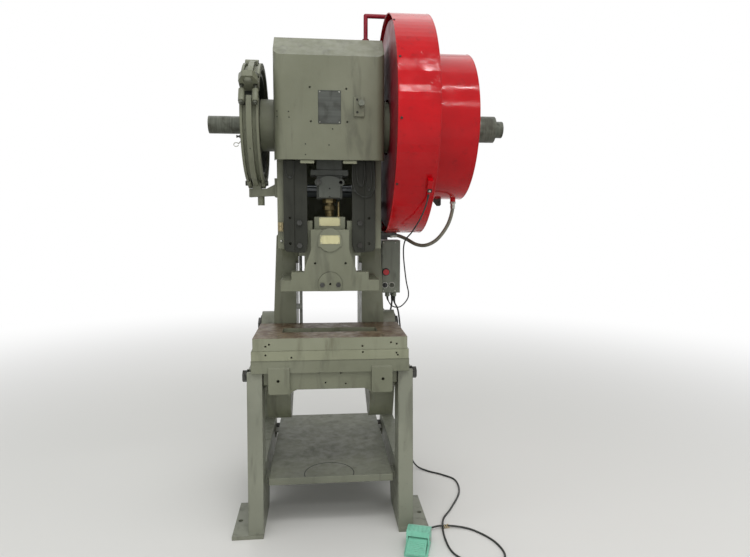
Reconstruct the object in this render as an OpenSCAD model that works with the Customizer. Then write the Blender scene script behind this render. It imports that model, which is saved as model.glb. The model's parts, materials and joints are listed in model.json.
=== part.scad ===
// Open-back inclinable mechanical stamping press on two cast legs.
// Millimetres. X runs left to right across the press, Y runs front to back, Z is up.
// The origin is on the floor, at the centre of the four floor bolts.

/* [Press] */
// Height of the crankshaft axis above the floor
crank_z = 1907; // [1880:1:1930]
// Height of the bed's top face above the floor
bed_z = 827; // [810:1:840]
// Distance from the floor bolts' centre forward to the die centreline
die_forward = 246; // [236:1:256]
// Stroke of the ram
stroke = 76; // [60:1:76]
// Distance from the die centreline back to the throat's rear wall
throat_depth = 197; // [192:1:215]

/* [Legs] */
// Distance between the two legs' inner faces
leg_gap = 632; // [628:1:650]
// Thickness of a leg across the press
leg_t = 70; // [60:1:80]
// Width of the perimeter rib round each leg casting
leg_rib = 28; // [22:1:32]
// Floor bolt spacing across the press
foot_bolt_x = 874; // [868:1:880]
// Floor bolt spacing front to back
foot_bolt_y = 686; // [670:1:700]
// Diameter of the floor bolt holes
foot_hole_d = 22; // [16:1:26]
// Thickness of the foot plates
foot_t = 17; // [12:1:22]
// Radius of the pivot hub at the top of each leg
hub_r = 80; // [70:1:84]
// Diameter of the pivot bolts
pivot_d = 50; // [40:1:60]
// Diameter of the front clamp bolts
clamp_d = 28; // [22:1:30]

/* [Shelf] */
// Height of the shelf's top face
shelf_z = 259; // [240:1:280]
// Width of the shelf
shelf_w = 584; // [560:1:590]
// Depth of the shelf
shelf_d = 860; // [800:1:880]
// Sheet thickness of the shelf
shelf_t = 3; // [2:0.5:5]
// Depth of the shelf's folded edge
shelf_lip = 30; // [20:1:40]

/* [Frame] */
// Outer width of the frame's upright walls at the shoulder
upright_w = 536; // [530:1:544]
// Outer width of the crown
crown_w = 480; // [470:1:490]
// Distance between the crown's inner walls
crown_gap = 312; // [304:1:320]
// Outer width of the bed's side walls below the bolster
bed_side_w = 624; // [612:1:626]
// Depth of the uprights from throat wall to back
upright_d = 340; // [300:1:360]
// Height of the underside of the upper jaw
jaw_z = 1335; // [1320:1:1350]
// Outer radius of the main bearing hubs
bearing_hub_r = 118; // [105:1:125]

/* [Bolster] */
// Width of the bolster's upper plate
bolster_w = 711; // [690:1:720]
// Depth of the bolster, front to back
bolster_d = 374; // [360:1:374]
// Thickness of the bolster's upper plate
bolster_top_t = 59; // [45:1:65]
// Thickness of the bolster's lower plate
bolster_base_t = 45; // [38:1:50]
// Length of the slot through the bolster
slot_l = 459; // [420:1:470]
// Width of the slot through the bolster
slot_w = 102; // [80:1:120]

/* [Ram] */
// Height of the ram's bottom face at the top of its stroke
ram_z = 1141; // [1136:1:1148]
// Width of the ram's bottom flange
ram_w = 456; // [430:1:470]
// Depth of the ram, front to back
ram_d = 290; // [270:1:300]
// Thickness of the ram's bottom flange
ram_flange_t = 52; // [40:1:58]
// Depth of the die shank bore
shank_depth = 60; // [50:1:80]
// Diameter of the die shank bore
shank_d = 40; // [30:1:50]
// Radius of the shank clamp's round front
shank_clamp_r = 56; // [50:1:60]

/* [Crankshaft] */
// Diameter of the main journals
journal_d = 110; // [96:1:116]
// Diameter of the crank pin
pin_d = 120; // [112:1:126]
// Width of the pitman's big end
pitman_w = 140; // [120:1:144]
// Diameter of the shaft's left end
left_end_d = 80; // [70:1:90]
// Radial running clearance of shafts in their bearings
running = 0.08; // [0.05:0.01:0.1]

/* [Flywheel and guards] */
// Diameter of the flywheel
flywheel_d = 950; // [900:1:960]
// Width of the flywheel's rim
flywheel_w = 124; // [110:1:130]
// Clearance from the flywheel's rim to the outside of its guard
guard_gap = 24; // [20:1:27]
// Width of the flywheel guard
guard_w = 171; // [165:1:180]
// Outer diameter of the clutch guard
clutch_guard_d = 673; // [660:1:690]
// Width of the clutch guard
clutch_guard_w = 203; // [195:1:210]
// Sheet thickness of the guards
guard_t = 3; // [2:0.5:4]

/* [Brake] */
// Diameter of the brake drum
brake_d = 470; // [440:1:480]
// Width of the brake drum
brake_w = 66; // [56:1:70]
// Outer diameter over the brake arms
brake_arm_d = 564; // [550:1:576]

/* [Motor] */
// Diameter of the motor
motor_d = 230; // [210:1:240]
// Length of the motor
motor_l = 385; // [350:1:400]
// Diameter of the motor pulley
pulley_d = 144; // [120:1:160]

/* [Hidden] */
$fn = 64;

// Shared positions
die_y = -die_forward;
throat_y = die_y + throat_depth;
back_y = throat_y + upright_d;
leg_in = leg_gap / 2;
leg_out = leg_in + leg_t;
crank_r = stroke / 2;
crown_in = crown_gap / 2;
crown_out = crown_w / 2;
bed_side = bed_side_w / 2;
flat = 0.3;

// Pivot of the frame in the legs, and the front clamp bolts
pivot_y = 97;
pivot_z = bed_z + 63;
hub_in = 290;
hub_out = 360;
wing_t = 60;
wing_side = bolster_w / 2 + 9.5;
wing_z = bed_z - wing_t;
clamp_y = die_y - 117;
clamp_z = wing_z - 27;

// Fronts and backs
bolster_front = die_y - bolster_d / 2;
ram_front = die_y - ram_d / 2;
foot_front = -485;
foot_back = -foot_front;

// Heights
bolster_z = bed_z + bolster_base_t;
bolster_top_z = bolster_z + bolster_top_t;
crown_top_z = crank_z + 283;
shoulder_z = 1400;

// Red guards along the crankshaft
guard_d = flywheel_d + 2 * guard_gap;
guard_x = 263;
flywheel_x = guard_x + 11;
guard_end_x = guard_x + guard_w;
clutch_end_x = guard_end_x + clutch_guard_w;
motor_y = 430;
motor_z = crank_z - 347;
belt_count = 5;
belt_pitch = 19;

// A profile in the Y-Z plane, run along X
module along_x(x0, x1) translate([x0, 0, 0]) rotate([90, 0, 90]) linear_extrude(x1 - x0) children();

// A profile in the X-Z plane, run along Y
module along_y(y0, y1) translate([0, y1, 0]) rotate([90, 0, 0]) linear_extrude(y1 - y0) children();

// A cylinder along X
module x_rod(x0, x1, y, z, r) translate([x0, y, z]) rotate([0, 90, 0]) cylinder(r = r, h = x1 - x0);

// A cylinder along Y
module y_rod(y0, y1, x, z, r) translate([x, y1, z]) rotate([90, 0, 0]) cylinder(r = r, h = y1 - y0);

// A hexagon along X, r over its corners
module x_hex(x0, x1, y, z, r) translate([x0, y, z]) rotate([0, 90, 0]) cylinder(r = r, h = x1 - x0, $fn = 6);

// A hexagon along Y, r over its corners
module y_hex(y0, y1, x, z, r) translate([x, y1, z]) rotate([90, 0, 0]) cylinder(r = r, h = y1 - y0, $fn = 6);

// The same thing on both sides of the press
module both_sides() {
  children();
  mirror([1, 0, 0]) children();
}

// A box from its lowest to its highest corner
module span(a, b) translate(a) cube(b - a);

// A rectangle with round corners
module soft_rect(a, b, r) {
  translate([a[0] + r, a[1]]) square([b[0] - a[0] - 2 * r, b[1] - a[1]]);
  translate([a[0], a[1] + r]) square([b[0] - a[0], b[1] - a[1] - 2 * r]);
  for (x = [a[0] + r, b[0] - r], y = [a[1] + r, b[1] - r]) translate([x, y]) circle(r);
}

// A convex or bent outline moved inwards by d (outwards when d is negative), for points listed anticlockwise
function unit(v) = v / norm(v);
function left_of(v) = [-v[1], v[0]];
function inset(p, d) = [
  for (i = [0 : len(p) - 1])
    let (
      a = p[(i + len(p) - 1) % len(p)],
      b = p[i],
      c = p[(i + 1) % len(p)],
      u = unit(b - a),
      v = unit(c - b),
      turn = (u * v < 0.999) ? tan(acos(min(1, u * v)) / 2) * sign(u[0] * v[1] - u[1] * v[0]) : 0
    )
    b + d * (left_of(u) - turn * u)
];

// Points along an arc, from angle a0 to a1 in n steps
function arc(c, r, a0, a1, n) = [for (i = [0 : n]) let (a = a0 + (a1 - a0) * i / n) c + r * [cos(a), sin(a)]];

// The loop round two wheels: an arc on each and the tangent straight runs between them
module loop_shape(c1, r1, c2, r2) {
  lean = acos((r1 - r2) / norm(c2 - c1));
  base = atan2(c2[1] - c1[1], c2[0] - c1[0]);
  polygon(concat(arc(c1, r1, base + lean, base - lean + 360, 72), arc(c2, r2, base - lean, base + lean, 16)));
}

// Legs

foot_l = 315;
foot_in = foot_front + foot_l;
arch_z = 150;
leg_core = [
  [foot_front + 15, 0], [foot_in, 0], [foot_in + 60, arch_z], [-foot_in - 60, arch_z], [-foot_in, 0],
  [foot_back - 15, 0],
  [190, pivot_z + 10], [pivot_y, pivot_z + 30], [10, pivot_z + 20], [-48, wing_z], [-414, wing_z]
];
leg_window = [
  [-318, 292], [306, 292], [150, wing_z - 92], [-300, wing_z - 112]
];

module clamp_notch(extra) {
  translate([clamp_y, clamp_z]) circle(clamp_d / 2 + extra);
  translate([clamp_y - clamp_d / 2 - extra - 12, clamp_z]) square([clamp_d + 2 * extra + 12, 60]);
}

module leg() {
  difference() {
    union() {
      difference() {
        along_x(leg_in, leg_out) {
          polygon(leg_core);
          polygon([
            [foot_front + 15, foot_t - 1], [foot_front + 60, foot_t - 1], [-414, 300], [-447, 300], [-460, 66]
          ]);
        }
        along_x(leg_in - 1, leg_out + 1) polygon(leg_window);
        // the web stands back from the ribs on the outside
        along_x(leg_in + 24, leg_out + 1) difference() {
          polygon(inset(leg_core, leg_rib));
          polygon(inset(leg_window, -leg_rib));
          translate([pivot_y, pivot_z]) circle(hub_r + 12);
          translate([clamp_y, clamp_z]) circle(44);
          translate([tie_y, tie_z]) circle(36);
        }
      }
      // clamp bolt boss
      along_x(leg_in, leg_out) intersection() {
        translate([clamp_y, clamp_z]) circle(44);
        translate([clamp_y - 60, clamp_z - 60]) square([120, wing_z - clamp_z + 60]);
      }
      // pivot hub, set inwards to reach the upright
      x_rod(hub_in, hub_out, pivot_y, pivot_z, hub_r);
      // foot plates
      for (y = [foot_front, foot_back - foot_l])
        span([leg_in, y, 0], [foot_bolt_x / 2 + 23, y + foot_l, foot_t]);
    }
    // above the web the leg is no wider than its hub
    along_x(hub_out, leg_out + 1) translate([-40, wing_z + 40]) square([320, 400]);
    x_rod(hub_in - 1, leg_out + 1, pivot_y, pivot_z, pivot_d / 2 + running);
    along_x(leg_in - 30, leg_out + 1) clamp_notch(2);
    for (y = [-foot_bolt_y / 2, foot_bolt_y / 2])
      translate([foot_bolt_x / 2, y, -1]) cylinder(d = foot_hole_d, h = foot_t + 2);
    // tie bar holes
    x_rod(leg_in - 1, leg_out + 1, tie_y, tie_z, tie_d / 2 + flat);
  }
}

tie_d = 30;
tie_y = 372;
tie_z = 208;

module left_leg() color("#7b7d72") mirror([1, 0, 0]) leg();
module right_leg() color("#7b7d72") leg();

module tie_bar() color("#4c4e49") {
  x_rod(-leg_out - 44, leg_out + 44, tie_y, tie_z, tie_d / 2);
  both_sides() {
    x_hex(leg_out, leg_out + 24, tie_y, tie_z, 29);
    x_hex(leg_in - 18, leg_in, tie_y, tie_z, 29);
  }
}

// Shelf

shelf_front = -426;

module shelf() color("#6f7268") {
  w = shelf_w / 2;
  back = shelf_front + shelf_d;
  span([-w, shelf_front, shelf_z - shelf_t], [w, back, shelf_z]);
  for (y = [shelf_front, back - shelf_t]) span([-w, y, shelf_z - shelf_lip], [w, y + shelf_t, shelf_z]);
  both_sides() span([w - shelf_t, shelf_front, shelf_z - shelf_lip], [w, back, shelf_z]);
  // rolled front edge
  x_rod(-w, w, shelf_front + 4, shelf_z - 1, 4);
}

module shelf_brackets() color("#565950") both_sides() for (y = [-330, 250]) {
  seat = shelf_z - shelf_lip;
  span([leg_in - 6, y, seat - 36], [leg_in, y + 70, seat]);
  span([shelf_w / 2 - 30, y, seat - 6], [leg_in, y + 70, seat]);
}

// Frame casting

module lower_side_outline() {
  polygon([
    [-400, wing_z + 5], [-400, 705], [-262, 640], [-262, 575], [-150, 463], [-90, 478], [back_y, 660],
    [back_y, wing_z + 5]
  ]);
  translate([-150, 575]) circle(112);
}

module crown_outline() {
  difference() {
    polygon([
      [wing_front - 2, jaw_z], [wing_front - 2, gib_top + 2], [die_y - 150, gib_top + 60],
      [die_y - 150, crank_z + 170], [die_y - 90, crown_top_z], [120, crown_top_z],
      [back_y, crown_top_z - 230],
      [back_y, shoulder_z - 120], [throat_y, shoulder_z - 120], [throat_y, jaw_z - throat_fillet],
      [throat_y - throat_fillet, jaw_z]
    ]);
    translate([throat_y - throat_fillet, jaw_z - throat_fillet]) circle(throat_fillet);
  }
}
throat_fillet = 90;

module upright_front() {
  polygon([
    [171, wing_z - 120], [290, wing_z - 120], [286, bed_z + 170], [upright_w / 2, shoulder_z - 14],
    [upright_w / 2 - 14, shoulder_z], [171, shoulder_z]
  ]);
}

module frame() color("#70736a") difference() {
  union() {
    // bed plate with its side wings
    span([-wing_side, bolster_front, wing_z], [wing_side, throat_y - 10, bed_z]);
    span([-286, throat_y - 11, wing_z], [286, back_y, bed_z]);
    // front wall of the bed, arched at its lower corners
    along_y(bolster_front + 15, bolster_front + 50) difference() {
      translate([-205, bed_z - 142]) square([410, 130]);
      both_sides() translate([152, bed_z - 142 - 46]) circle(46);
    }
    both_sides() {
      arch_corner();
      front_boss();
      along_x(195, bed_side) lower_side_outline();
      along_y(throat_y, back_y) upright_front();
      along_x(crown_in, crown_out) crown_outline();
      // ways behind the ram's wings
      span([way_in, wing_back, jaw_z], [crown_in + 1, die_y + 96, crank_z - 170]);
      // main bearing hubs
      x_rod(crown_out - 1, crown_out + 71, die_y, crank_z, bearing_hub_r);
      // pads that the cover is screwed to
      for (y = [die_y - 100, -40]) x_rod(crown_out - 1, cover_half - cover_t, y, crank_z + 200, 16);
    }
    // rear wall of the crown and rear web below the bed
    span([-crown_out, back_y - 75, jaw_z + 330], [crown_out, back_y, crown_top_z - 230]);
    span([-200, back_y - 60, 700], [200, back_y, wing_z + 1]);
    span([-crown_in - 1, 60, crown_top_z - 60], [crown_in + 1, 119, crown_top_z]);
  }
  // opening under the bolster's slot
  span([-190, die_y - 85, wing_z - 1], [190, die_y + 85, bed_z + 1]);
  // main bearing bores
  x_rod(-400, 400, die_y, crank_z, bush_r);
  // pivot bolt and clamp bolt holes
  x_rod(-400, 400, pivot_y, pivot_z, pivot_d / 2);
  both_sides() x_rod(190, 320, clamp_y, clamp_z, clamp_d / 2);
  // holes in the front bosses and the front wall
  both_sides() y_rod(bolster_front - 20, bolster_front + 30, 242, bed_z - 95, 7);
  for (p = [[-55, 63], [46, 67], [-25, 112], [69, 119]])
    y_rod(bolster_front, bolster_front + 60, p[0], bed_z - p[1], 4);
  // shoulder cleat holes through the uprights' front edge
  both_sides() y_rod(throat_y - 1, throat_y + 40, 247, jaw_z + 5, 7);
}
way_in = 120;
wing_front = die_y - 92;
wing_back = die_y - 44;
bush_r = journal_d / 2 + 8;

module front_boss() {
  intersection() {
    along_y(bolster_front - 8, bolster_front + 60) soft_rect([189, bed_z - 158], [287, bed_z - 12], 10);
    along_x(188, 288) polygon([
      [bolster_front - 6, bed_z - 160], [bolster_front - 6, bed_z - 38], [bolster_front + 20, bed_z - 12],
      [bolster_front + 60, bed_z - 12], [bolster_front + 60, bed_z - 160]
    ]);
  }
  span([189, bolster_front + 15, bed_z - 142], [287, bolster_front + 60, wing_z + 1]);
}

module arch_corner() {
  along_y(bolster_front + 16, throat_y) difference() {
    translate([160, bed_z - 178]) square([36, 100]);
    translate([152, bed_z - 178 - 10]) circle(44);
  }
}

module pivot_bolts() color("#3f423e") both_sides() {
  x_rod(200, hub_out, pivot_y, pivot_z, pivot_d / 2);
  x_rod(hub_out, hub_out + 8, pivot_y, pivot_z, 58);
  x_hex(hub_out + 8, hub_out + 22, pivot_y, pivot_z, 46);
}

module clamp_bolts() color("#3f423e") both_sides() {
  x_rod(200, leg_out, clamp_y, clamp_z, clamp_d / 2);
  x_rod(leg_out, leg_out + 4, clamp_y, clamp_z, 32);
  x_hex(leg_out + 4, leg_out + 24, clamp_y, clamp_z, 28);
}

// Bolster

module slot_cut(z0, z1) span([-slot_l / 2, die_y - slot_w / 2, z0], [slot_l / 2, die_y + slot_w / 2, z1]);

module bolster_base() color("#84886f") difference() {
  side = bolster_w / 2 + 7;
  span([-side, bolster_front - 3, bed_z], [side, bolster_front + bolster_d, bolster_z]);
  slot_cut(bed_z - 1, bolster_z + 1);
  for (p = [[-297, 27], [-180, 14], [148, 34], [305, 28], [311, 18]])
    y_rod(bolster_front - 4, bolster_front + 25, p[0], bed_z + p[1], 4.5);
}

module bolster_plate() color("#6e5f4d") difference() {
  span([-bolster_w / 2, bolster_front, bolster_z], [bolster_w / 2, bolster_front + bolster_d, bolster_top_z]);
  slot_cut(bolster_z - 1, bolster_top_z + 1);
  for (x = [-die_hole_x, die_hole_x], y = [-die_hole_y, die_hole_y])
    translate([x, die_y + y, bolster_z - 1]) cylinder(d = die_hole_d, h = bolster_top_t + 2);
  for (p = [[-297, 22], [-281, 31], [146, 17], [279, 32], [306, 25]])
    y_rod(bolster_front - 1, bolster_front + 25, p[0], bolster_z + p[1], 4.5);
}
die_hole_x = 240;
die_hole_y = 150;
die_hole_d = 16;

// Gibs

gib_z = jaw_z - 17;
gib_top = crank_z - 170;
gib_t = 32;

module gib_plates() color("#5c5f58") both_sides() difference() {
  along_y(wing_front - gib_t - 2, wing_front - 2) polygon([
    [strip_out, gib_z + 3], [200, gib_z + 6], [210, gib_z + 20], [210, gib_top], [strip_out, gib_top]
  ]);
  for (z = [jaw_z + 25, jaw_z + 142]) y_rod(wing_front - gib_t - 3, wing_front, 181, z, 6);
}
strip_out = 162;
strip_in = 103;

module gib_strips() color("#5c5f58") both_sides() difference() {
  union() {
    along_y(wing_front - gib_t + 4, wing_front - 2) polygon([
      [strip_in, gib_z + 40], [strip_in + 12, gib_z], [strip_out, gib_z], [strip_out, gib_top],
      [strip_in, gib_top]
    ]);
    // bearing face towards the ram, and the foot that fills the space up to the crown wall
    span([strip_in + 2, wing_front - 3, jaw_z + 10], [crown_in - 4, wing_front - 0.5, gib_top]);
    span([crown_in - 5, wing_front - 3, jaw_z + 10], [crown_in, wing_back, gib_top]);
  }
  for (z = [jaw_z + 16, jaw_z + 120]) y_rod(wing_front - gib_t + 3, wing_front, 139, z, 7);
}

module gib_screws() color("#4a4c48") both_sides() for (z = [jaw_z + 16, jaw_z + 120]) {
  y_rod(wing_front - gib_t - 3, wing_front - 1, 139, z, 7);
  y_hex(wing_front - gib_t - 10, wing_front - gib_t + 4, 139, z, 13);
}

// Ram

ram_top = ram_z + 284;
chamber_z = ram_top - 48;
way_side = crown_in - 11.5;

module ram_front_outline() {
  polygon([
    [-ram_w / 2, ram_z], [ram_w / 2, ram_z], [ram_w / 2, ram_z + ram_flange_t], [119, ram_z + ram_flange_t],
    [119, ram_z + 103], [88, ram_z + 190], [88, ram_top], [-88, ram_top], [-88, ram_z + 190],
    [-119, ram_z + 103], [-119, ram_z + ram_flange_t], [-ram_w / 2, ram_z + ram_flange_t]
  ]);
}

module ram() color("#7d806f") difference() {
  union() {
    along_y(ram_front, ram_front + ram_d) ram_front_outline();
    // wings that run behind the gib strips
    both_sides() {
      span([80, wing_front, ram_z + 60], [way_in - 1, wing_front + 130, ram_top + 40]);
      span([80, wing_front, ram_z + 160], [way_side, wing_back - 0.5, ram_top + 40]);
      // side lugs
      span([118, ram_front, ram_z + ram_flange_t - 1], [178, ram_front + 70, ram_z + 89]);
    }
    // raised seat of the lower plate
    along_y(ram_front - 6, ram_front) {
      translate([0, ram_z + 236]) circle(54);
      translate([-54, ram_z + 205]) square([108, 31]);
    }
  }
  // open pockets in the side lugs
  both_sides() span([130, ram_front + 14, ram_z + 60], [166, ram_front + 58, ram_z + 90]);
  // chamber of the ball end, long enough for its swing to the rear
  span([-42, die_y - 42, chamber_z - 52], [42, die_y + 42 + crank_r, ram_top + 1]);
  // shank bore and the seat of its clamp
  translate([0, die_y, ram_z - 1]) cylinder(d = shank_d, h = shank_depth + 1);
  along_y(ram_front - 7, die_y) clamp_outline(0.2);
  for (x = [-69, 71]) y_rod(ram_front - 1, ram_front + 30, x, ram_z + 129, 5);
}

module clamp_outline(extra) intersection() {
  translate([0, ram_z + 33]) circle(shank_clamp_r + extra);
  translate([-100, ram_z]) square([200, 200]);
}

module shank_clamp() color("#7d806f") difference() {
  along_y(ram_front - 6, die_y - 1) clamp_outline(0);
  translate([0, die_y, ram_z - 1]) cylinder(d = shank_d, h = shank_depth + 1);
  y_rod(ram_front - 7, die_y, 0, ram_z + 33, 5);
  for (x = [-37, 37]) y_rod(ram_front - 7, ram_front + 44, x, ram_z + 30, 8);
}

module shank_screws() color("#5d5f58") for (x = [-37, 37]) {
  y_rod(ram_front - 6, ram_front + 44, x, ram_z + 30, 8);
  y_hex(ram_front - 14, ram_front - 6, x, ram_z + 30, 12);
}

module ball_cap() color("#6a6d64") difference() {
  span([-72, die_y - 84, ram_top], [72, die_y + 105, ram_top + 58]);
  swing_slot();
}

// Slot that lets the screw swing to the rear
module swing_slot() {
  for (y = [0, crank_r]) translate([0, die_y + y, ram_top - 1]) cylinder(r = screw_r + 3, h = 60);
  span([-screw_r - 3, die_y, ram_top - 1], [screw_r + 3, die_y + crank_r, ram_top + 59]);
}

// Pitman, with the crank at the top of its stroke

pin_z = crank_z + crank_r;
screw_r = 21;
screw_top = pin_z - 290;
pitman_low = pin_z - 376;

module pitman() color("#474a45") difference() {
  union() {
    intersection() {
      x_rod(-pitman_w / 2, pitman_w / 2, die_y, pin_z, 98);
      span([-100, die_y - 120, pin_z - 120], [100, die_y + 120, pin_z]);
    }
    along_y(die_y - 68, die_y + 68) polygon([
      [-60, pitman_low], [60, pitman_low], [60, pin_z - 90], [pitman_w / 2, pin_z - 60],
      [-pitman_w / 2, pin_z - 60], [-60, pin_z - 90]
    ]);
    span([-88, die_y - 74, pin_z - 271], [88, die_y + 74, pin_z - 245]);
    // lugs for the big end bolts
    for (y = [-116, 88]) span([-pitman_w / 2, die_y + y, pin_z - 60], [pitman_w / 2, die_y + y + 28, pin_z]);
  }
  x_rod(-100, 100, die_y, pin_z, pin_d / 2 + running);
  translate([0, die_y, pitman_low - 1]) cylinder(r = screw_r, h = screw_top - pitman_low + 1);
  for (x = [-42, 42], y = [-102, 102]) translate([x, die_y + y, pin_z - 61]) cylinder(r = 9, h = 62);
  for (x = [-52, 52]) y_rod(die_y - 75, die_y - 20, x, pin_z - 304, 8);
}

module pitman_cap() color("#474a45") difference() {
  union() {
    intersection() {
      x_rod(-pitman_w / 2, pitman_w / 2, die_y, pin_z, 98);
      span([-100, die_y - 120, pin_z + 1], [100, die_y + 120, pin_z + 120]);
    }
    for (y = [-116, 88])
      span([-pitman_w / 2, die_y + y, pin_z + 1], [pitman_w / 2, die_y + y + 28, pin_z + 45]);
  }
  x_rod(-100, 100, die_y, pin_z, pin_d / 2 + running);
  for (x = [-42, 42], y = [-102, 102]) translate([x, die_y + y, pin_z]) cylinder(r = 9, h = 46);
}

module pitman_clamp() color("#4d504a") difference() {
  along_y(die_y - 100, die_y - 68) {
    for (x = [-52, 52]) translate([x, pin_z - 304]) circle(17);
    translate([-50, pitman_low + 2]) square([100, 72]);
    intersection() {
      translate([0, pin_z - 360]) circle(86);
      translate([-52, pin_z - 310]) square([104, 60]);
    }
  }
  y_rod(die_y - 101, die_y - 67, 52, pin_z - 304, 8);
  y_rod(die_y - 101, die_y - 67, -52, pin_z - 304, 8);
}

module pitman_bolts() color("#2e302d") {
  for (x = [-42, 42], y = [-102, 102]) translate([x, die_y + y, 0]) {
    translate([0, 0, pin_z - 60]) cylinder(r = 9, h = 105);
    translate([0, 0, pin_z + 45]) cylinder(r = 16, h = 14, $fn = 6);
    translate([0, 0, pin_z - 74]) cylinder(r = 16, h = 14, $fn = 6);
  }
  y_rod(die_y - 100, die_y - 20, -52, pin_z - 304, 8);
  y_hex(die_y - 110, die_y - 100, -52, pin_z - 304, 14);
}

module adjusting_screw() color("#a08a4c") {
  translate([0, die_y, chamber_z]) cylinder(r = screw_r, h = screw_top - chamber_z);
  translate([0, die_y, chamber_z]) sphere(r = 38);
  // flats for the bar
  translate([0, die_y, pitman_low - 54]) cylinder(r = 31, h = 20, $fn = 8);
}

module lock_nut() color("#8d7a45") difference() {
  translate([0, die_y, pitman_low - 20]) cylinder(r = 33, h = 20, $fn = 6);
  translate([0, die_y, pitman_low - 21]) cylinder(r = screw_r, h = 22);
}

// Crankshaft and what is keyed to it

brake_x = -375;
shaft_left_x = -554;
seat_r = 50;
end_r = 39;
clutch_x = clutch_end_x - 67;
clutch_hub_r = 62;
cheek_r = 104;

module crankshaft() color("#6c6e66") {
  x_rod(shaft_left_x, brake_x - 8, die_y, crank_z, left_end_d / 2);
  x_rod(brake_x - 8, -crown_out - 71, die_y, crank_z, seat_r);
  both_sides() {
    x_rod(crown_in - 36, crown_out + 71, die_y, crank_z, journal_d / 2);
    x_rod(pitman_w / 2 + 2, crown_in - 36, die_y, crank_z, cheek_r);
  }
  x_rod(-pitman_w / 2 - 2, pitman_w / 2 + 2, die_y, pin_z, pin_d / 2);
  x_rod(crown_out + 71, clutch_x + 30, die_y, crank_z, seat_r);
  x_rod(clutch_x + 30, clutch_end_x + 201, die_y, crank_z, end_r);
}

module bearing_bushes() color("#a8843f") both_sides() difference() {
  x_rod(crown_in, crown_out + 71, die_y, crank_z, bush_r);
  x_rod(crown_in - 1, crown_out + 72, die_y, crank_z, journal_d / 2 + running);
}

module brake_drum() color("#2b2d2a") difference() {
  union() {
    x_rod(brake_x, brake_x + brake_w, die_y, crank_z, brake_d / 2);
    x_rod(brake_x - 4, brake_x + brake_w - 3, die_y, crank_z, 84);
  }
  difference() {
    x_rod(brake_x - 1, brake_x + 26, die_y, crank_z, brake_d / 2 - 18);
    x_rod(brake_x - 10, brake_x + 30, die_y, crank_z, 84);
  }
  difference() {
    x_rod(brake_x + 44, brake_x + brake_w + 1, die_y, crank_z, brake_d / 2 - 18);
    x_rod(brake_x + 40, brake_x + brake_w - 3, die_y, crank_z, 84);
  }
  for (a = [0 : 60 : 300])
    x_rod(brake_x, brake_x + brake_w, die_y + 150 * cos(a), crank_z + 150 * sin(a), 32);
  x_rod(brake_x - 10, brake_x + brake_w + 10, die_y, crank_z, seat_r);
}

module clutch_hub() color("#55584f") difference() {
  union() {
    x_rod(clutch_x, clutch_end_x + 160, die_y, crank_z, clutch_hub_r);
    x_rod(clutch_x + 2, clutch_x + 26, die_y, crank_z, clutch_hub_r + 168);
  }
  x_rod(clutch_x - 10, clutch_x + 30, die_y, crank_z, seat_r);
  x_rod(clutch_x + 29, clutch_end_x + 161, die_y, crank_z, end_r);
}

// Brake arms round the drum

lining_r = brake_d / 2 + 0.5;
arm_r = lining_r + 10;
arm_x0 = brake_x - 4;
arm_x1 = -300;
anchor_z = crank_z - 267;
joint_a = 158;
tie_r = 6;
tie_out = 43;
boss_low = 60;
lug_t = 28;
lug_gap = 36;
eye_z = crank_z + 264;

// A sector of the Y-Z plane round the crank axis, between two angles from +Y
module sector(a0, a1, r) translate([die_y, crank_z]) polygon([
  [0, 0], for (i = [0 : 6]) let (a = a0 + (a1 - a0) * i / 6) r * [cos(a), sin(a)]
]);

module arm_ring(r0, r1, a0, a1) intersection() {
  difference() {
    translate([die_y, crank_z]) circle(r1, $fn = 128);
    translate([die_y, crank_z]) circle(r0, $fn = 128);
  }
  sector(a0, a1, 400);
}

module brake_arm(a0, a1, lining_a0, lining_a1) {
  edge = 11;
  rib = 24;
  middle = (arm_x0 + arm_x1) / 2;
  // wide web with a flange along each edge and a rib along its middle
  along_x(arm_x0, arm_x1) arm_ring(arm_r, arm_r + 14, a0, a1);
  for (x = [arm_x0, arm_x1 - edge]) along_x(x, x + edge) arm_ring(arm_r, brake_arm_d / 2 - 9, a0, a1);
  along_x(middle - rib / 2, middle + rib / 2) arm_ring(arm_r, brake_arm_d / 2, a0, a1);
  // bonded lining
  along_x(brake_x + 3, brake_x + brake_w - 3) arm_ring(lining_r, arm_r + 1, lining_a0, lining_a1);
}

module at_joint() translate([die_y, crank_z]) rotate(joint_a) children();

module tie_axis(x) translate([x, die_y, crank_z]) rotate([joint_a, 0, 0])
  translate([0, arm_r + tie_out, 0]) children();

module brake_front_arm() color("#595c54") {
  difference() {
    union() {
      brake_arm(joint_a + 5, 262, joint_a + 8, 259);
      // two long bosses for the tie bolts, one each side of the rib
      for (x = [arm_x0 + 11, arm_x1 - 11]) {
        tie_axis(x) translate([0, 0, 4]) cylinder(r = 13, h = boss_low - 4);
        along_x(x - 9, x + 9) at_joint() translate([arm_r + 1, 24]) square([tie_out - 2, boss_low - 30]);
      }
    }
    for (x = [arm_x0 + 11, arm_x1 - 11])
      tie_axis(x) translate([0, 0, 3]) cylinder(r = tie_r + flat, h = boss_low);
    x_rod(arm_x0 - 1, arm_x1 + 1, die_y, anchor_z, 30);
  }
  anchor_link(arm_x0, arm_x0 + 18, 1);
}

// Outline of the rear arm's tie plate, along the shaft against distance from the drum
module tie_plate_outline() difference() {
  polygon([
    [arm_x0, 0], [arm_x1, 0], [arm_x1, 70], [arm_x1 - 18, 104], [arm_x0 + 18, 104], [arm_x0, 70]
  ]);
  middle = (arm_x0 + arm_x1) / 2;
  translate([middle, 78]) circle(17);
  translate([middle - 17, 58]) square([34, 20]);
}

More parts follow.
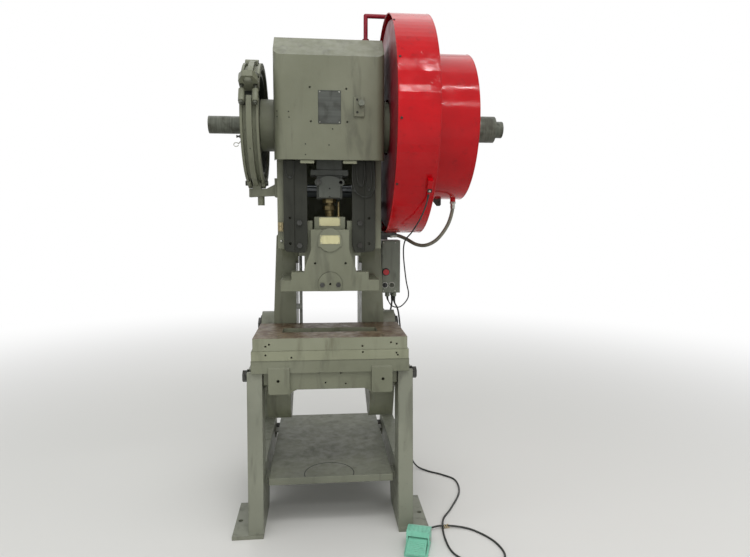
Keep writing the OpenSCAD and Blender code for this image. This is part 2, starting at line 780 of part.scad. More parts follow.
module brake_rear_arm() color("#595c54") {
  difference() {
    union() {
      // its lining ends near the top, so that the arm can swing back clear of the drum
      brake_arm(-82, joint_a - 5, -79, 103);
      // arched tie plate
      translate([0, die_y, crank_z]) rotate([joint_a, 0, 0])
        translate([0, arm_r + 1, -lug_gap / 2 - lug_t]) linear_extrude(lug_t) tie_plate_outline();
    }
    for (x = [arm_x0 + 11, arm_x1 - 11])
      tie_axis(x) translate([0, 0, -lug_gap / 2 - lug_t - 1]) cylinder(r = tie_r + 4, h = lug_t + 2);
    x_rod(arm_x0 - 1, arm_x1 + 1, die_y, anchor_z, 30);
  }
  anchor_link(arm_x1 - 18, arm_x1, -1);
  // lifting eye on top
  difference() {
    union() {
      x_rod(arm_x0, arm_x1 - 20, die_y - 20, eye_z, 27);
      span([arm_x0, die_y - 44, crank_z + arm_r + 2], [arm_x1 - 20, die_y + 4, eye_z]);
    }
    x_rod(arm_x0 - 1, arm_x1, die_y - 20, eye_z, 15);
  }
}

// Link from an arm's lower end to the anchor pin; side is 1 for the front arm
module anchor_link(x0, x1, side) difference() {
  along_x(x0, x1) {
    translate([die_y, anchor_z]) circle(24);
    polygon([
      [die_y - side * 8, anchor_z - 20], [die_y - side * 8, anchor_z + 20],
      [die_y - side * 66, crank_z - arm_r - 2], [die_y - side * 66, crank_z - brake_arm_d / 2 + 10]
    ]);
  }
  x_rod(x0 - 1, x1 + 1, die_y, anchor_z, 12 + running);
  x_rod(x0 - 1, x1 + 1, die_y, crank_z, arm_r);
}

module brake_pin() color("#8a8d85") x_rod(arm_x0 - 14, arm_x1 + 12, die_y, anchor_z, 12);

module brake_bracket() color("#595c54") difference() {
  union() {
    // fork between the two links, carried by an arm from the crown's side
    x_rod(arm_x0 + 20, arm_x1 - 20, die_y, anchor_z, 24);
    span([arm_x0 + 20, die_y - 24, anchor_z - 40], [arm_x1 - 20, die_y + 24, anchor_z]);
    along_y(die_y - 24, die_y + 24) polygon([
      [arm_x0 + 4, anchor_z - 66], [-crown_out, anchor_z - 58], [-crown_out, anchor_z + 2],
      [arm_x1 + 6, anchor_z - 26], [arm_x0 + 4, anchor_z - 26]
    ]);
    span([-crown_out - 14, die_y - 60, anchor_z - 66], [-crown_out, die_y + 60, anchor_z + 20]);
    // nut of the brake's adjustment
    translate([arm_x1 - 22, die_y, anchor_z - 104]) cylinder(r = 16, h = 42, $fn = 6);
  }
  x_rod(arm_x0, arm_x1, die_y, anchor_z, 12);
}

module brake_tie() color("#7c7f76") for (x = [arm_x0 + 11, arm_x1 - 11]) tie_axis(x) {
  face = lug_gap / 2 + lug_t;
  translate([0, 0, -face - 20]) cylinder(r = tie_r, h = face + boss_low + 34);
  translate([0, 0, boss_low]) cylinder(r = 11, h = 10, $fn = 6);
  translate([0, 0, -face - 24]) cylinder(r = 14, h = 12);
}

// Flywheel, clutch and guards

groove_x = flywheel_x + flywheel_w - belt_count * belt_pitch - 8;

// V grooves down the rim, as a radius against distance along the axis
function rim_profile(r, x0, count, pitch, depth) = [
  for (i = [0 : count - 1], p = [[0, 0], [5, depth], [11, depth], [16, 0]])
    [r - p[1], x0 + i * pitch + 1.5 + p[0]]
];

module flywheel() color("#7a1420") difference() {
  translate([flywheel_x, die_y, crank_z]) rotate([0, 90, 0]) rotate_extrude($fn = 128) polygon(concat(
    [[seat_r + running, 0], [flywheel_d / 2 - 6, 0], [flywheel_d / 2, 6]],
    rim_profile(flywheel_d / 2, groove_x - flywheel_x, belt_count, belt_pitch, 13),
    [[flywheel_d / 2, flywheel_w], [flywheel_d / 2 - 70, flywheel_w], [flywheel_d / 2 - 90, flywheel_w - 44],
     [150, flywheel_w - 44], [140, flywheel_w + 26], [seat_r + running, flywheel_w + 26]]
  ));
  x_rod(flywheel_x - 1, crown_out + 76, die_y, crank_z, bearing_hub_r + 14);
}

module clutch_housing() color("#50534c") difference() {
  x_rod(flywheel_x + flywheel_w - 44, clutch_x - 4, die_y, crank_z, 250);
  x_rod(flywheel_x + flywheel_w - 45, flywheel_x + flywheel_w + 28, die_y, crank_z, 152);
  x_rod(flywheel_x + flywheel_w, clutch_x - 3, die_y, crank_z, seat_r + running);
}

module guard_loop(extra) loop_shape(
  [die_y, crank_z], guard_d / 2 + extra, [motor_y, motor_z], pulley_d / 2 + 50 + extra
);

module flywheel_guard() color("#b3142a") difference() {
  along_x(guard_x, guard_end_x) guard_loop(0);
  along_x(guard_x - 1, guard_end_x - guard_t) guard_loop(-guard_t);
  x_rod(guard_end_x - guard_t - 1, guard_end_x + 1, die_y, crank_z, clutch_guard_d / 2 - 12);
}

module clutch_guard() color("#b3142a") {
  difference() {
    x_rod(guard_end_x, clutch_end_x, die_y, crank_z, clutch_guard_d / 2);
    x_rod(guard_end_x - 1, clutch_end_x - guard_t, die_y, crank_z, clutch_guard_d / 2 - guard_t);
    x_rod(clutch_end_x - guard_t - 1, clutch_end_x + 1, die_y, crank_z, clutch_hub_r + 8);
  }
  // air union under the guard
  translate([600, -262, crank_z - clutch_guard_d / 2 - 12.5]) cylinder(r = 13, h = 15);
}

bar_r = 10;
bar_z = crank_z + guard_d / 2 + bar_r;

module guard_bar() color("#a01428") {
  x_rod(bar_x, guard_x + 40, die_y, bar_z, bar_r);
  translate([bar_x, die_y, crown_top_z]) cylinder(r = bar_r, h = bar_z - crown_top_z);
  translate([bar_x, die_y, bar_z]) sphere(r = bar_r);
  span([crown_in + 1, die_y - 24, crown_top_z], [206, die_y + 24, crown_top_z + 12]);
  translate([bar_x, die_y, crown_top_z]) cylinder(r = 16, h = 120);
}
bar_x = 174;

module guard_bracket() color("#2f312e") {
  z = crank_z - guard_d / 2;
  span([crown_out, die_y - 34, z - 14], [guard_x + 60, die_y + 34, z]);
  span([crown_out, die_y - 34, z - 14], [crown_out + 10, die_y + 34, z + 60]);
}

// Motor and belts

module motor() color("#3b4a55") {
  x1 = motor_x + motor_l / 2;
  x0 = motor_x - motor_l / 2;
  body0 = x0 + 45;
  difference() {
    union() {
      x_rod(body0, x1, motor_y, motor_z, motor_d / 2 - 6);
      for (x = [body0, x1 - 20]) x_rod(x, x + 20, motor_y, motor_z, motor_d / 2);
    }
    x_rod(x1 - 31, x1 + 1, motor_y, motor_z, motor_shaft_r + running);
  }
  // cooling fins
  for (a = [0 : 20 : 340]) if (abs(a - 270) > 28)
    translate([body0 + 10, motor_y, motor_z]) rotate([a - 90, 0, 0])
      translate([0, -2, 90]) cube([x1 - body0 - 20, 4, motor_d / 2 - 91]);
  // fan cover
  x_rod(x0, body0, motor_y, motor_z, motor_d / 2 - 14);
  // feet
  low = motor_z - motor_d / 2;
  span([motor_x - 98, motor_y - 92, low], [motor_x + 142, motor_y + 92, low + 15]);
  for (x = [motor_x - 88, motor_x + 92])
    span([x, motor_y - 70, low + 14], [x + 40, motor_y + 70, motor_z - 60]);
  // terminal box with its gland
  difference() {
    union() {
      span([-70, motor_y + 96, motor_z - 30], [40, motor_y + 150, motor_z + 50]);
      translate([-15, motor_y + 121, motor_z + 49]) cylinder(r = 14, h = 20);
    }
    translate([-15, motor_y + 121, motor_z + 60]) cylinder(r = 5 + flat, h = 10);
  }
}
motor_x = -32;

module motor_bracket() color("#6b6e65") {
  top = motor_z - motor_d / 2;
  span([-200, back_y, top - 130], [200, back_y + 16, top + 150]);
  span([-170, back_y, top - 16], [170, motor_y + 110, top]);
  both_sides() along_x(150, 164) polygon([
    [back_y, top - 16], [back_y, top - 130], [back_y + 30, top - 130], [motor_y + 100, top - 16]
  ]);
}

module motor_pulley() color("#4c4f4a") {
  w = belt_count * belt_pitch + 12;
  translate([groove_x - 6, motor_y, motor_z]) rotate([0, 90, 0]) rotate_extrude() polygon(concat(
    [[10, 0], [pulley_d / 2, 0]],
    rim_profile(pulley_d / 2, 6, belt_count, belt_pitch, 13),
    [[pulley_d / 2, w], [10, w]]
  ));
  // the motor's shaft, keyed in the pulley
  x_rod(motor_x + motor_l / 2 - 30, groove_x + w, motor_y, motor_z, motor_shaft_r);
}
motor_shaft_r = 19;

module drive_belts() color("#22231f") for (i = [0 : belt_count - 1]) {
  x = groove_x + i * belt_pitch + 1.5;
  along_x(x + 2.8, x + 13.2) difference() {
    belt_loop(3);
    belt_loop(-6);
  }
}

module belt_loop(extra) loop_shape(
  [die_y, crank_z], flywheel_d / 2 + extra, [motor_y, motor_z], pulley_d / 2 + extra
);

// Crown cover

cover_front = bolster_front;
cover_back = 40;
cover_low = crank_z - 173;
cover_knee = crank_z + 275;
cover_top = crank_z + 383;
cover_t = 2.5;
cover_half = crown_out + 6;

module cover_side(extra) polygon([
  [cover_front + extra, cover_low - 1], [cover_front + extra, cover_knee - extra / 3],
  [cover_front + 129 + extra / 2, cover_top - extra], [cover_back + 1, cover_top - extra],
  [cover_back + 1, cover_low - 1]
]);

module cover_plan(extra) {
  r = 38 - extra;
  x = cover_half - extra;
  y = cover_front + extra;
  translate([-x + r, y]) square([2 * (x - r), cover_back - y]);
  translate([-x, y + r]) square([2 * x, cover_back - y - r]);
  for (c = [r - x, x - r]) translate([c, y + r]) circle(r);
}

module cover_body(extra, low) intersection() {
  along_x(-cover_half, cover_half) cover_side(extra);
  translate([0, 0, low]) linear_extrude(cover_top - cover_low) cover_plan(extra);
}

module crown_cover() color("#73766a") difference() {
  cover_body(0, cover_low);
  cover_body(cover_t, cover_low - 2);
  // the sides stop short of the bearing hubs, and the back is open
  span([-300, die_y - bearing_hub_r - 12, cover_low - 2], [300, cover_back + 2, crank_z + 140]);
  for (p = [[-86, 139], [-82, -7], [74, 135], [78, -7]])
    y_rod(cover_front - 1, cover_front + 5, p[0], crank_z + p[1], 4);
  // the guard bar's boss comes up through the top
  translate([bar_x, die_y, cover_top - 60]) cylinder(r = 18, h = 80);
  y_rod(cover_front - 1, cover_front + 10, latch_x, latch_z, 6.4);
}

module latch_plate() color("#80836f") {
  difference() {
    span([107, cover_front - 8, crank_z + 16], [152, cover_front, crank_z + 101]);
    y_rod(cover_front - 9, cover_front + 1, latch_x, latch_z, 6.4);
  }
}

module latch_knob() color("#9a9c8c") {
  y_rod(cover_front - 18, cover_front + 4, latch_x, latch_z, 6);
  y_rod(cover_front - 30, cover_front - 8, latch_x, latch_z, 13);
  // tongue behind the sheet
  span([latch_x - 5, cover_front + 2.8, latch_z - 34], [latch_x + 5, cover_front + 6, latch_z]);
}
latch_x = 140;
latch_z = crank_z + 72;

// Control box on the right upright

box_y = 85;
box_x0 = 292;
box_z0 = 1067;
box_z1 = 1357;

module control_box() color("#767a70") difference() {
  union() {
    span([box_x0, box_y, box_z0], [box_x0 + 101, box_y + 120, box_z1]);
    for (z = [box_z0 + 30, box_z1 - 60]) along_y(box_y + 30, box_y + 90)
      polygon([[upright_x(z), z], [box_x0 + 1, z], [box_x0 + 1, z + 30], [upright_x(z + 30), z + 30]]);
    for (p = glands) translate([p[0], p[1], box_z0 - 22]) cylinder(r = 13, h = 23);
  }
  y_rod(box_y - 1, box_y + 6, stop_x, stop_z, 9);
  for (x = [select_x, key_x]) y_rod(box_y - 1, box_y + 3, x, select_z, 6);
  for (p = glands) translate([p[0], p[1], box_z0 - 23]) cylinder(r = p[2] + flat, h = 13);
}

module control_lid() color("#7d8177") difference() {
  span([box_x0 + 1, box_y - lid_t, box_z0 + 4], [box_x0 + 78, box_y, box_z1 - 4]);
  y_rod(box_y - lid_t - 1, box_y + 1, stop_x, stop_z, 9);
  for (x = [select_x, key_x]) y_rod(box_y - lid_t - 1, box_y + 1, x, select_z, 6);
}
lid_t = 12;
// Cord glands under the box: where, and the radius of each cord
glands = [[364, 115, 4.5], [326, 112, 3.2], [360, 160, 5]];

// The upright's outer face leans inwards as it rises
function upright_x(z) = 286 + (upright_w / 2 - 286) * (z - bed_z - 170) / (shoulder_z - 14 - bed_z - 170);
stop_x = 313;
stop_z = 1184;
select_x = 308;
select_z = 1111;
key_x = 346;

module stop_button() color("#c01a2c") {
  y_rod(box_y - lid_t - 14, box_y - lid_t - 6, stop_x, stop_z, 16);
  y_rod(box_y - lid_t - 6, box_y - 4, stop_x, stop_z, 8.6);
}

module selector_knob() color("#191a18") {
  y_rod(box_y - lid_t - 6, box_y - lid_t, select_x, select_z, 13);
  y_rod(box_y - lid_t, box_y - 4, select_x, select_z, 5.6);
  span([select_x - 3, box_y - lid_t - 14, select_z - 12], [select_x + 3, box_y - lid_t - 6, select_z + 12]);
}

module key_switch() color("#8f918c") difference() {
  union() {
    y_rod(box_y - lid_t - 5, box_y - lid_t, key_x, select_z, 12);
    y_rod(box_y - lid_t, box_y - 4, key_x, select_z, 5.6);
  }
  span([key_x - 1, box_y - lid_t - 6, select_z - 6], [key_x + 1, box_y - lid_t - 1, select_z + 6]);
}

// Small fittings on the frame

module guard_switch() color("#9a9c94") translate([395, die_y, crank_z]) rotate([35, 0, 0]) {
  span([0, -guard_d / 2 - 26, -29], [22, -guard_d / 2, 29]);
  translate([11, -guard_d / 2 - 12, -42]) cylinder(r = 6, h = 14);
}

module air_valve() color("#45474a") {
  z = crank_z - guard_d / 2 - 41;
  span([crown_out + 10, valve_y - 17, z], [302, valve_y + 17, z + 40]);
  x_rod(crown_out, crown_out + 11, valve_y, z + 22, 13);
  translate([crown_out + 14, valve_y, z + 39]) cylinder(r = 7, h = 46);
  x_rod(301, hose_end_x, valve_y, z + 22, 11);
}
valve_y = -67;
hose_end_x = 318;

module conduit() color("#8c8e86") {
  translate([-147, throat_y + 11, bed_z]) cylinder(r = 8, h = 770);
  span([-171, throat_y + 1, 1004], [-139, throat_y + 21, 1030]);
}

module lube_lines() color("#a9a48e") {
  // block and unions beside the left gib, on the crown's front edge
  span([-238, die_y - 108, jaw_z + 80], [-214, die_y - 94, jaw_z + 122]);
  y_rod(die_y - 122, die_y - 107, -226, jaw_z + 92, 8);
  y_rod(die_y - 122, die_y - 107, -226, jaw_z + 112, 6);
}

// Foot switch on the floor

module foot_switch_place() translate([382, -628, 0]) rotate(-18) children();

module foot_switch() color("#7dbea5") foot_switch_place() difference() {
  union() {
    along_x(-52, 52) polygon([[-70, 0], [70, 0], [70, 74], [40, 88], [-10, 88], [-18, 30], [-70, 14]]);
    translate([20, 66, 24]) rotate([-90, 0, 0]) cylinder(r = 12, h = 18);
  }
  along_x(-44, 44) polygon([[-90, 16], [22, 20], [22, 70], [-30, 60]]);
  x_rod(-48, 48, pedal_y, pedal_z, pedal_pin_r + running);
  translate([20, 60, 24]) rotate([-90, 0, 0]) cylinder(r = 4.8, h = 25);
}
pedal_y = 8;
pedal_z = 50;
pedal_pin_r = 5;

module foot_pedal() color("#8accb3") foot_switch_place() {
  along_x(-42, 42) polygon([[-92, 30], [-90, 22], [0, 40], [pedal_y, 42], [pedal_y + 2, 56], [-4, 56]]);
  x_rod(-47.5, 47.5, pedal_y, pedal_z, pedal_pin_r);
}

// Cords

// A smooth line through hand-chosen points, with n steps from each point to the next
function curve_point(a, b, c, d, t) =
  0.5 * (2 * b + (c - a) * t + (2 * a - 5 * b + 4 * c - d) * t * t + (3 * b - a - 3 * c + d) * t * t * t);
function smooth(p, n) = concat(
  [for (i = [0 : len(p) - 2], k = [0 : n - 1])
    curve_point(p[max(i - 1, 0)], p[i], p[i + 1], p[min(i + 2, len(p) - 1)], k / n)],
  [p[len(p) - 1]]
);

// Side directions carried along the line, so that the rings never twist
function headings(p) = [
  for (i = [0 : len(p) - 1]) unit(p[min(i + 1, len(p) - 1)] - p[max(i - 1, 0)])
];
function sides(dirs, i, s) =
  i == len(dirs) ? [] : let (t = unit(s - (s * dirs[i]) * dirs[i])) concat([t], sides(dirs, i + 1, t));

// A round tube along a line of points, as one closed mesh
module tube(route, r, n = 8) {
  last = len(route) - 1;
  dirs = headings(route);
  across = sides(dirs, 0, unit(cross(dirs[0], [0.3, 0.5, 0.8])));
  points = [
    for (i = [0 : last], k = [0 : n - 1])
      route[i] + r * (cos(k * 360 / n) * across[i] + sin(k * 360 / n) * cross(dirs[i], across[i]))
  ];
  polyhedron(
    points = points,
    faces = concat(
      [[for (k = [n - 1 : -1 : 0]) k]],
      [for (i = [0 : last - 1], k = [0 : n - 1])
        [i * n + k, i * n + (k + 1) % n, (i + 1) * n + (k + 1) % n, (i + 1) * n + k]],
      [[for (k = [0 : n - 1]) last * n + k]]
    )
  );
}

hose_route = [
  [600, -262, 1558], [598, -261, 1512], [582, -253, 1452], [552, -238, 1398], [520, -215, 1362],
  [480, -185, 1342], [440, -146, 1346], [398, -94, 1371], [358, -70, 1387], [318, -67, 1389]
];

module air_hose() color("#5a5c5a") tube(smooth(hose_route, 2), 9);

lead_route = [
  [406, -640.3, 1579.2], [404, -612, 1540], [388, -562, 1478], [364, -482, 1416], [345, -400, 1372],
  [354, -300, 1300], [380, -220, 1171], [412, -100, 1089], [418, 0, 1036], [391, 70, 990], [353, 103, 990],
  [329, 111, 1025], [326, 112, 1056]
];

module switch_lead() color("#2a2b29") tube(smooth(lead_route, 2), 3.2);

pedal_route = [
  [364, 115, 1056], [367, 116, 1010], [391, 124, 950], [416, 158, 760], [449, 190, 417], [466, 203, 200],
  [480, 207, 80], [514, 186, 16], [572, 130, 6], [646, 77, 5], [705, 3, 5], [693, -136, 5], [611, -298, 5],
  [545, -408, 5], [520, -560, 5], [540, -700, 5], [650, -780, 5], [749, -731, 5], [740, -610, 5],
  [656, -499, 5], [545, -474, 6], [470, -490, 14], [438.5, -526.5, 23], [424.5, -561.9, 24]
];

module pedal_cord() color("#2a2b29") tube(smooth(pedal_route, 2), 4.5);

motor_route = [
  [360, 160, 1056], [359, 166, 1004], [351, 214, 940], [318, 300, 950], [266, 322, 1100], [240, 312, 1300],
  [232, 330, 1480], [205, 396, 1672], [150, 465, 1742], [66, 515, 1742], [-6, 547, 1680], [-15, 551, 1622]
];

module motor_lead() color("#2a2b29") tube(smooth(motor_route, 2), 5);

left_leg();
right_leg();
tie_bar();
shelf();
shelf_brackets();
frame();
pivot_bolts();
clamp_bolts();
bolster_base();
bolster_plate();
gib_plates();
gib_strips();
gib_screws();
bearing_bushes();
crown_cover();
latch_plate();
latch_knob();
ram();
ball_cap();
shank_clamp();
shank_screws();
pitman();
pitman_cap();
pitman_clamp();
pitman_bolts();
adjusting_screw();
lock_nut();
crankshaft();
brake_drum();
clutch_hub();
brake_bracket();
brake_pin();
brake_front_arm();
brake_rear_arm();
brake_tie();
flywheel();
clutch_housing();
flywheel_guard();
clutch_guard();
guard_bar();
guard_bracket();
motor();
motor_bracket();
motor_pulley();
drive_belts();
control_box();
control_lid();
stop_button();
selector_knob();
key_switch();
guard_switch();
air_valve();
conduit();
lube_lines();
air_hose();
switch_lead();
foot_switch();
foot_pedal();
pedal_cord();
motor_lead();
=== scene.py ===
import json
import math

import bmesh
import bpy
import numpy as np
from mathutils import Matrix


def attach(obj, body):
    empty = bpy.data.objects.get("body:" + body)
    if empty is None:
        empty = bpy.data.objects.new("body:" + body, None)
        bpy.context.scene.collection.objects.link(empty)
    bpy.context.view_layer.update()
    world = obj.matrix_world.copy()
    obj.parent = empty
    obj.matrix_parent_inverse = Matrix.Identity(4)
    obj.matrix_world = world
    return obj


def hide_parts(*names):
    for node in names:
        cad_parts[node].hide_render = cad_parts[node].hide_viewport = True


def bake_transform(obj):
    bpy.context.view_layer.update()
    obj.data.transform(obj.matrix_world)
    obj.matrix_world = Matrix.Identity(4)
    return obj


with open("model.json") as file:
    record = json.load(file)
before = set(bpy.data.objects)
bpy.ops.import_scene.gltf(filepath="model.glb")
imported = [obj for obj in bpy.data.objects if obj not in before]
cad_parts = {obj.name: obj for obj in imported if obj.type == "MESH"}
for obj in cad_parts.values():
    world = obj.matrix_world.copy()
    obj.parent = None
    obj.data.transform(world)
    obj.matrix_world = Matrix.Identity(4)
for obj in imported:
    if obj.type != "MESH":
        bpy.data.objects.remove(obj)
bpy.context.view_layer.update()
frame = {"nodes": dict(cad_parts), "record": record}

MM = 0.001
FULL_TURN = 2 * np.pi
LEAST = 0.01  # the smallest radius, so that no ring closes to a point

# Axes, faces and radii of the solids that carry the pieces, in millimetres
DIE_Y = -246.0  # the crank and the screw lie at this depth
CRANK_Z = 1907.0
COVER_FRONT = -433.0
COVER_SIDE = 246.0
CAP_FRONT = -330.0
RAM_PAD_FRONT = -397.0
PITMAN_FRONT = -346.0
GIB_FRONT = -372.0
LID_FRONT = 73.0
BEARING_HUB_R = 118.0
GUARD_R, GUARD_TAIL_R = 499.0, 122.0
GUARD_LEFT, GUARD_RIGHT = 263.0, 434.0
CLUTCH_R, CLUTCH_END = 336.5, 637.0
ARM_RIM_R, ARM_RIB_R = 259.3, 282.0
SHAFT_LEFT, SHAFT_RIGHT = -554.0, 838.0
MOTOR_X, MOTOR_Y, MOTOR_Z = -32.0, 430.0, 1560.0
MOTOR_HALF_LENGTH = 192.5
SHELF_TOP = 259.0


# The photograph's view

PHOTO_WIDTH_PX, FOCAL_PX = 750.0, 561.7
SENSOR_MM = 36.0


def in_scene(name, data):
    """A new object of a mesh, camera or lamp, linked to the scene."""
    made = bpy.data.objects.new(name, data)
    bpy.context.scene.collection.objects.link(made)
    return made


def standing(across, up, out, place):
    """The matrix of a camera or lamp: its three directions as columns, and its place."""
    turn = np.eye(4)
    turn[:3, :3] = np.stack([across, up, out], -1)
    turn[:3, 3] = place
    return Matrix(turn.tolist())


def set_camera():
    """A wide lens three metres in front, chest high, looking slightly down and to the right."""
    yaw, pitch, roll = 0.098, -0.107, 0.003
    forward = np.array([math.sin(yaw) * math.cos(pitch), math.cos(yaw) * math.cos(pitch), math.sin(pitch)])
    right = np.array([math.cos(yaw), -math.sin(yaw), 0.0])
    up = np.cross(right, forward)
    rolled_right = math.cos(roll) * right + math.sin(roll) * up
    rolled_up = math.cos(roll) * up - math.sin(roll) * right
    data = bpy.data.cameras.new("camera")
    data.sensor_width = SENSOR_MM
    data.lens = FOCAL_PX * SENSOR_MM / PHOTO_WIDTH_PX
    data.clip_end = 60.0
    camera = in_scene("camera", data)
    camera.matrix_world = standing(rolled_right, rolled_up, -forward, (-0.0469, -2.9775, 1.4774))
    bpy.context.scene.camera = camera


set_camera()


# Surfaces

SIDES = {
    "front": ((1, 0, 0), (0, 0, 1), (0, -1, 0)),
    "back": ((-1, 0, 0), (0, 0, 1), (0, 1, 0)),
    "right": ((0, 1, 0), (0, 0, 1), (1, 0, 0)),
    "left": ((0, -1, 0), (0, 0, 1), (-1, 0, 0)),
    "top": ((1, 0, 0), (0, 1, 0), (0, 0, 1)),
}


def axes_of(facing):
    """Across, up and outward directions of a face, by its name or as three rows."""
    return np.array(SIDES[facing] if isinstance(facing, str) else facing, float)


def leaning(across, out):
    """The three directions of a face from its across and outward directions."""
    across, out = (np.array(v, float) / np.linalg.norm(v) for v in (across, out))
    return across, np.cross(out, across), out


def radial(dz, radius):
    """On the front of a cylinder round the crank, dz above its axis: the place (y, z), and the face there."""
    dy = -math.sqrt(radius**2 - dz**2)
    return (DIE_Y + dy, CRANK_Z + dz), leaning((1, 0, 0), (0, dy, dz))


def around(y, z, radius, count, x, first=0.0):
    """Places evenly round an axis along X: (x, y + r cos t, z + r sin t), from the first angle on."""
    t = np.linspace(0, FULL_TURN, count, endpoint=False) + first
    return [(x, y + radius * math.cos(a), z + radius * math.sin(a)) for a in t]


def shell(rings, closed=False):
    """Rings of points as an array (ring, point, xyz): quads join each ring to the next; the ends get flat
    faces, or the last ring joins the first. Gives the points, and the faces as arrays of point numbers."""
    rows, columns = rings.shape[:2]
    i, j = np.meshgrid(np.arange(rows - (not closed)), np.arange(columns), indexing="ij")
    k, n = (j + 1) % columns, (i + 1) % rows
    quads = np.stack([i * columns + j, i * columns + k, n * columns + k, n * columns + j], -1)
    ends = np.arange(columns) + np.array([[0], [(rows - 1) * columns]])
    return rings.reshape(-1, 3), [quads.reshape(-1, 4)] + ([] if closed else [ends])


def circle(radius, steps=24):
    """Points (r cos t, r sin t) for t once round."""
    t = np.linspace(0, FULL_TURN, steps, endpoint=False)
    return radius * np.stack([np.cos(t), np.sin(t)], -1)


def hexagon(radius, steps=24):
    """A hexagon whose corners are at the radius: the distance at angle t is r cos 30 / cos(t mod 60 - 30)."""
    t = np.linspace(0, FULL_TURN, steps, endpoint=False)
    reach = radius * math.cos(math.pi / 6) / np.cos(t % (np.pi / 3) - np.pi / 6)
    return reach[:, None] * np.stack([np.cos(t), np.sin(t)], -1)


def rounded(width, height, radius, steps=5):
    """A rectangle with quarter circles for corners: point = corner's centre + r (cos t, sin t)."""
    radius = max(min(radius, width / 2 - LEAST, height / 2 - LEAST), LEAST)
    quarter = np.linspace(0, np.pi / 2, steps + 1)
    t = np.concatenate([quarter + k * np.pi / 2 for k in range(4)])
    corner = np.repeat([[1, 1], [-1, 1], [-1, -1], [1, -1]], steps + 1, axis=0)
    return corner * [width / 2 - radius, height / 2 - radius] + radius * np.stack([np.cos(t), np.sin(t)], -1)


def stacked(outlines, heights, at, facing, closed=False):
    """One outline at each height, set on a face: point = at + u across + v up + height outward."""
    across, up, out = axes_of(facing)
    flat = np.array(outlines)
    place = np.array(at, float) + flat[..., :1] * across + flat[..., 1:] * up
    return shell(place + np.array(heights, float)[:, None, None] * out, closed)


def turned(profile, at, facing, steps=32, closed=False):
    """A profile of (radius, height) pairs turned round the outward axis through at; closed makes a ring."""
    outlines = [circle(max(r, LEAST), steps) for r, h in profile]
    return stacked(outlines, [h for r, h in profile], at, facing, closed)


def plate(width, height, thick, at, facing, corner=3.0, edge=1.0):
    """A flat plate with round corners, whose front edge is broken by a small chamfer."""
    full = rounded(width, height, corner)
    outlines = [full, full, rounded(width - 2 * edge, height - 2 * edge, corner - edge)]
    return stacked(outlines, [0, thick - edge, thick], at, facing)


def rimmed_plate(width, height, thick, rim, at, facing, corner=3, edge=0.3, fall=0.7, sink=0.8):
    """A pressed plate: its rim stands proud, and falls to a field that lies a little lower."""
    outlines = [rounded(width - 2 * k, height - 2 * k, corner) for k in (0, 0, edge, rim, rim + fall)]
    return stacked(outlines, [0, thick - edge, thick, thick, thick - sink], at, facing)


def hex_head(at, facing, radius, height):
    """A hexagon head: full hexagon, its corners cut by a cone at 0.86 r, then a dish 0.4 deep."""
    full, cut = hexagon(radius), radius * 0.86
    top = np.where((np.hypot(*full.T) > cut)[:, None], circle(cut), full)
    return stacked([full, full, top, top * 0.8], [0, height * 0.82, height, height - 0.4], at, facing)


def cap_head(at, facing, radius, height):
    """A round socket screw head: a cylinder with its edge broken to 0.9 r, and a hexagon hole of 0.58 r."""
    outlines = [circle(radius * share) for share in (1, 1, 0.9)]
    outlines += [hexagon(radius * share) for share in (0.58, 0.55)]
    return stacked(outlines, [0, height * 0.88, height, height, height * 0.35], at, facing)


def button_head(at, facing, radius, height):
    """A domed head: radius r cos 1.15a at height h sin 1.57a for a from 0 to 1, then a small recess."""
    dome = [(radius * math.cos(a * 1.15), height * math.sin(a * 1.57)) for a in np.linspace(0, 1, 5)]
    return turned(dome + [(radius * 0.28, height), (radius * 0.25, height * 0.5)], at, facing, 20)


def tapped_hole(at, facing, radius):
    """A tapped hole left empty: a thin raised lip round a sunk middle."""
    lip = [(radius, 0), (radius, 0.25), (radius * 0.82, 0.35), (radius * 0.6, 0.1), (radius * 0.2, 0.05)]
    return turned(lip, at, facing, 14)


def carried(route):
    """Two side directions at each point of a line, carried along it so that they never twist."""
    heading = np.gradient(route, axis=0)
    heading /= np.linalg.norm(heading, axis=1)[:, None]
    side = np.cross(heading[0], [0.3, 0.5, 0.8])
    sides = []
    for ahead in heading:
        side = side - side.dot(ahead) * ahead
        side /= np.linalg.norm(side)
        sides.append(side)
    sides = np.array(sides)
    return sides, np.cross(heading, sides)


def tube(route, radius, sides=12):
    """A round tube along a line: point = centre + r (cos t side + sin t other side); r may change along."""
    route = np.array(route, float)
    a, b = carried(route)
    t = np.linspace(0, FULL_TURN, sides, endpoint=False)
    spoke = np.cos(t)[None, :, None] * a[:, None] + np.sin(t)[None, :, None] * b[:, None]
    reach = np.broadcast_to(np.array(radius, float), len(route))
    return shell(route[:, None] + reach[:, None, None] * spoke)


def flowing(points, steps):
    """Catmull-Rom line, end points doubled: from b to c it is
    0.5 (2b + (c-a) t + (2a-5b+4c-d) t^2 + (3b-a-3c+d) t^3)."""
    p = np.array(points, float)
    a, b, c, d = p[np.r_[0, : len(p) - 2]], p[:-1], p[1:], p[np.r_[2 : len(p), len(p) - 1]]
    t = (np.arange(steps) / steps)[None, :, None]
    a, b, c, d = (x[:, None] for x in (a, b, c, d))
    line = 0.5 * (2 * b + (c - a) * t + (2 * a - 5 * b + 4 * c - d) * t**2 + (3 * b - a - 3 * c + d) * t**3)
    return np.concatenate([line.reshape(-1, 3), p[-1:]])


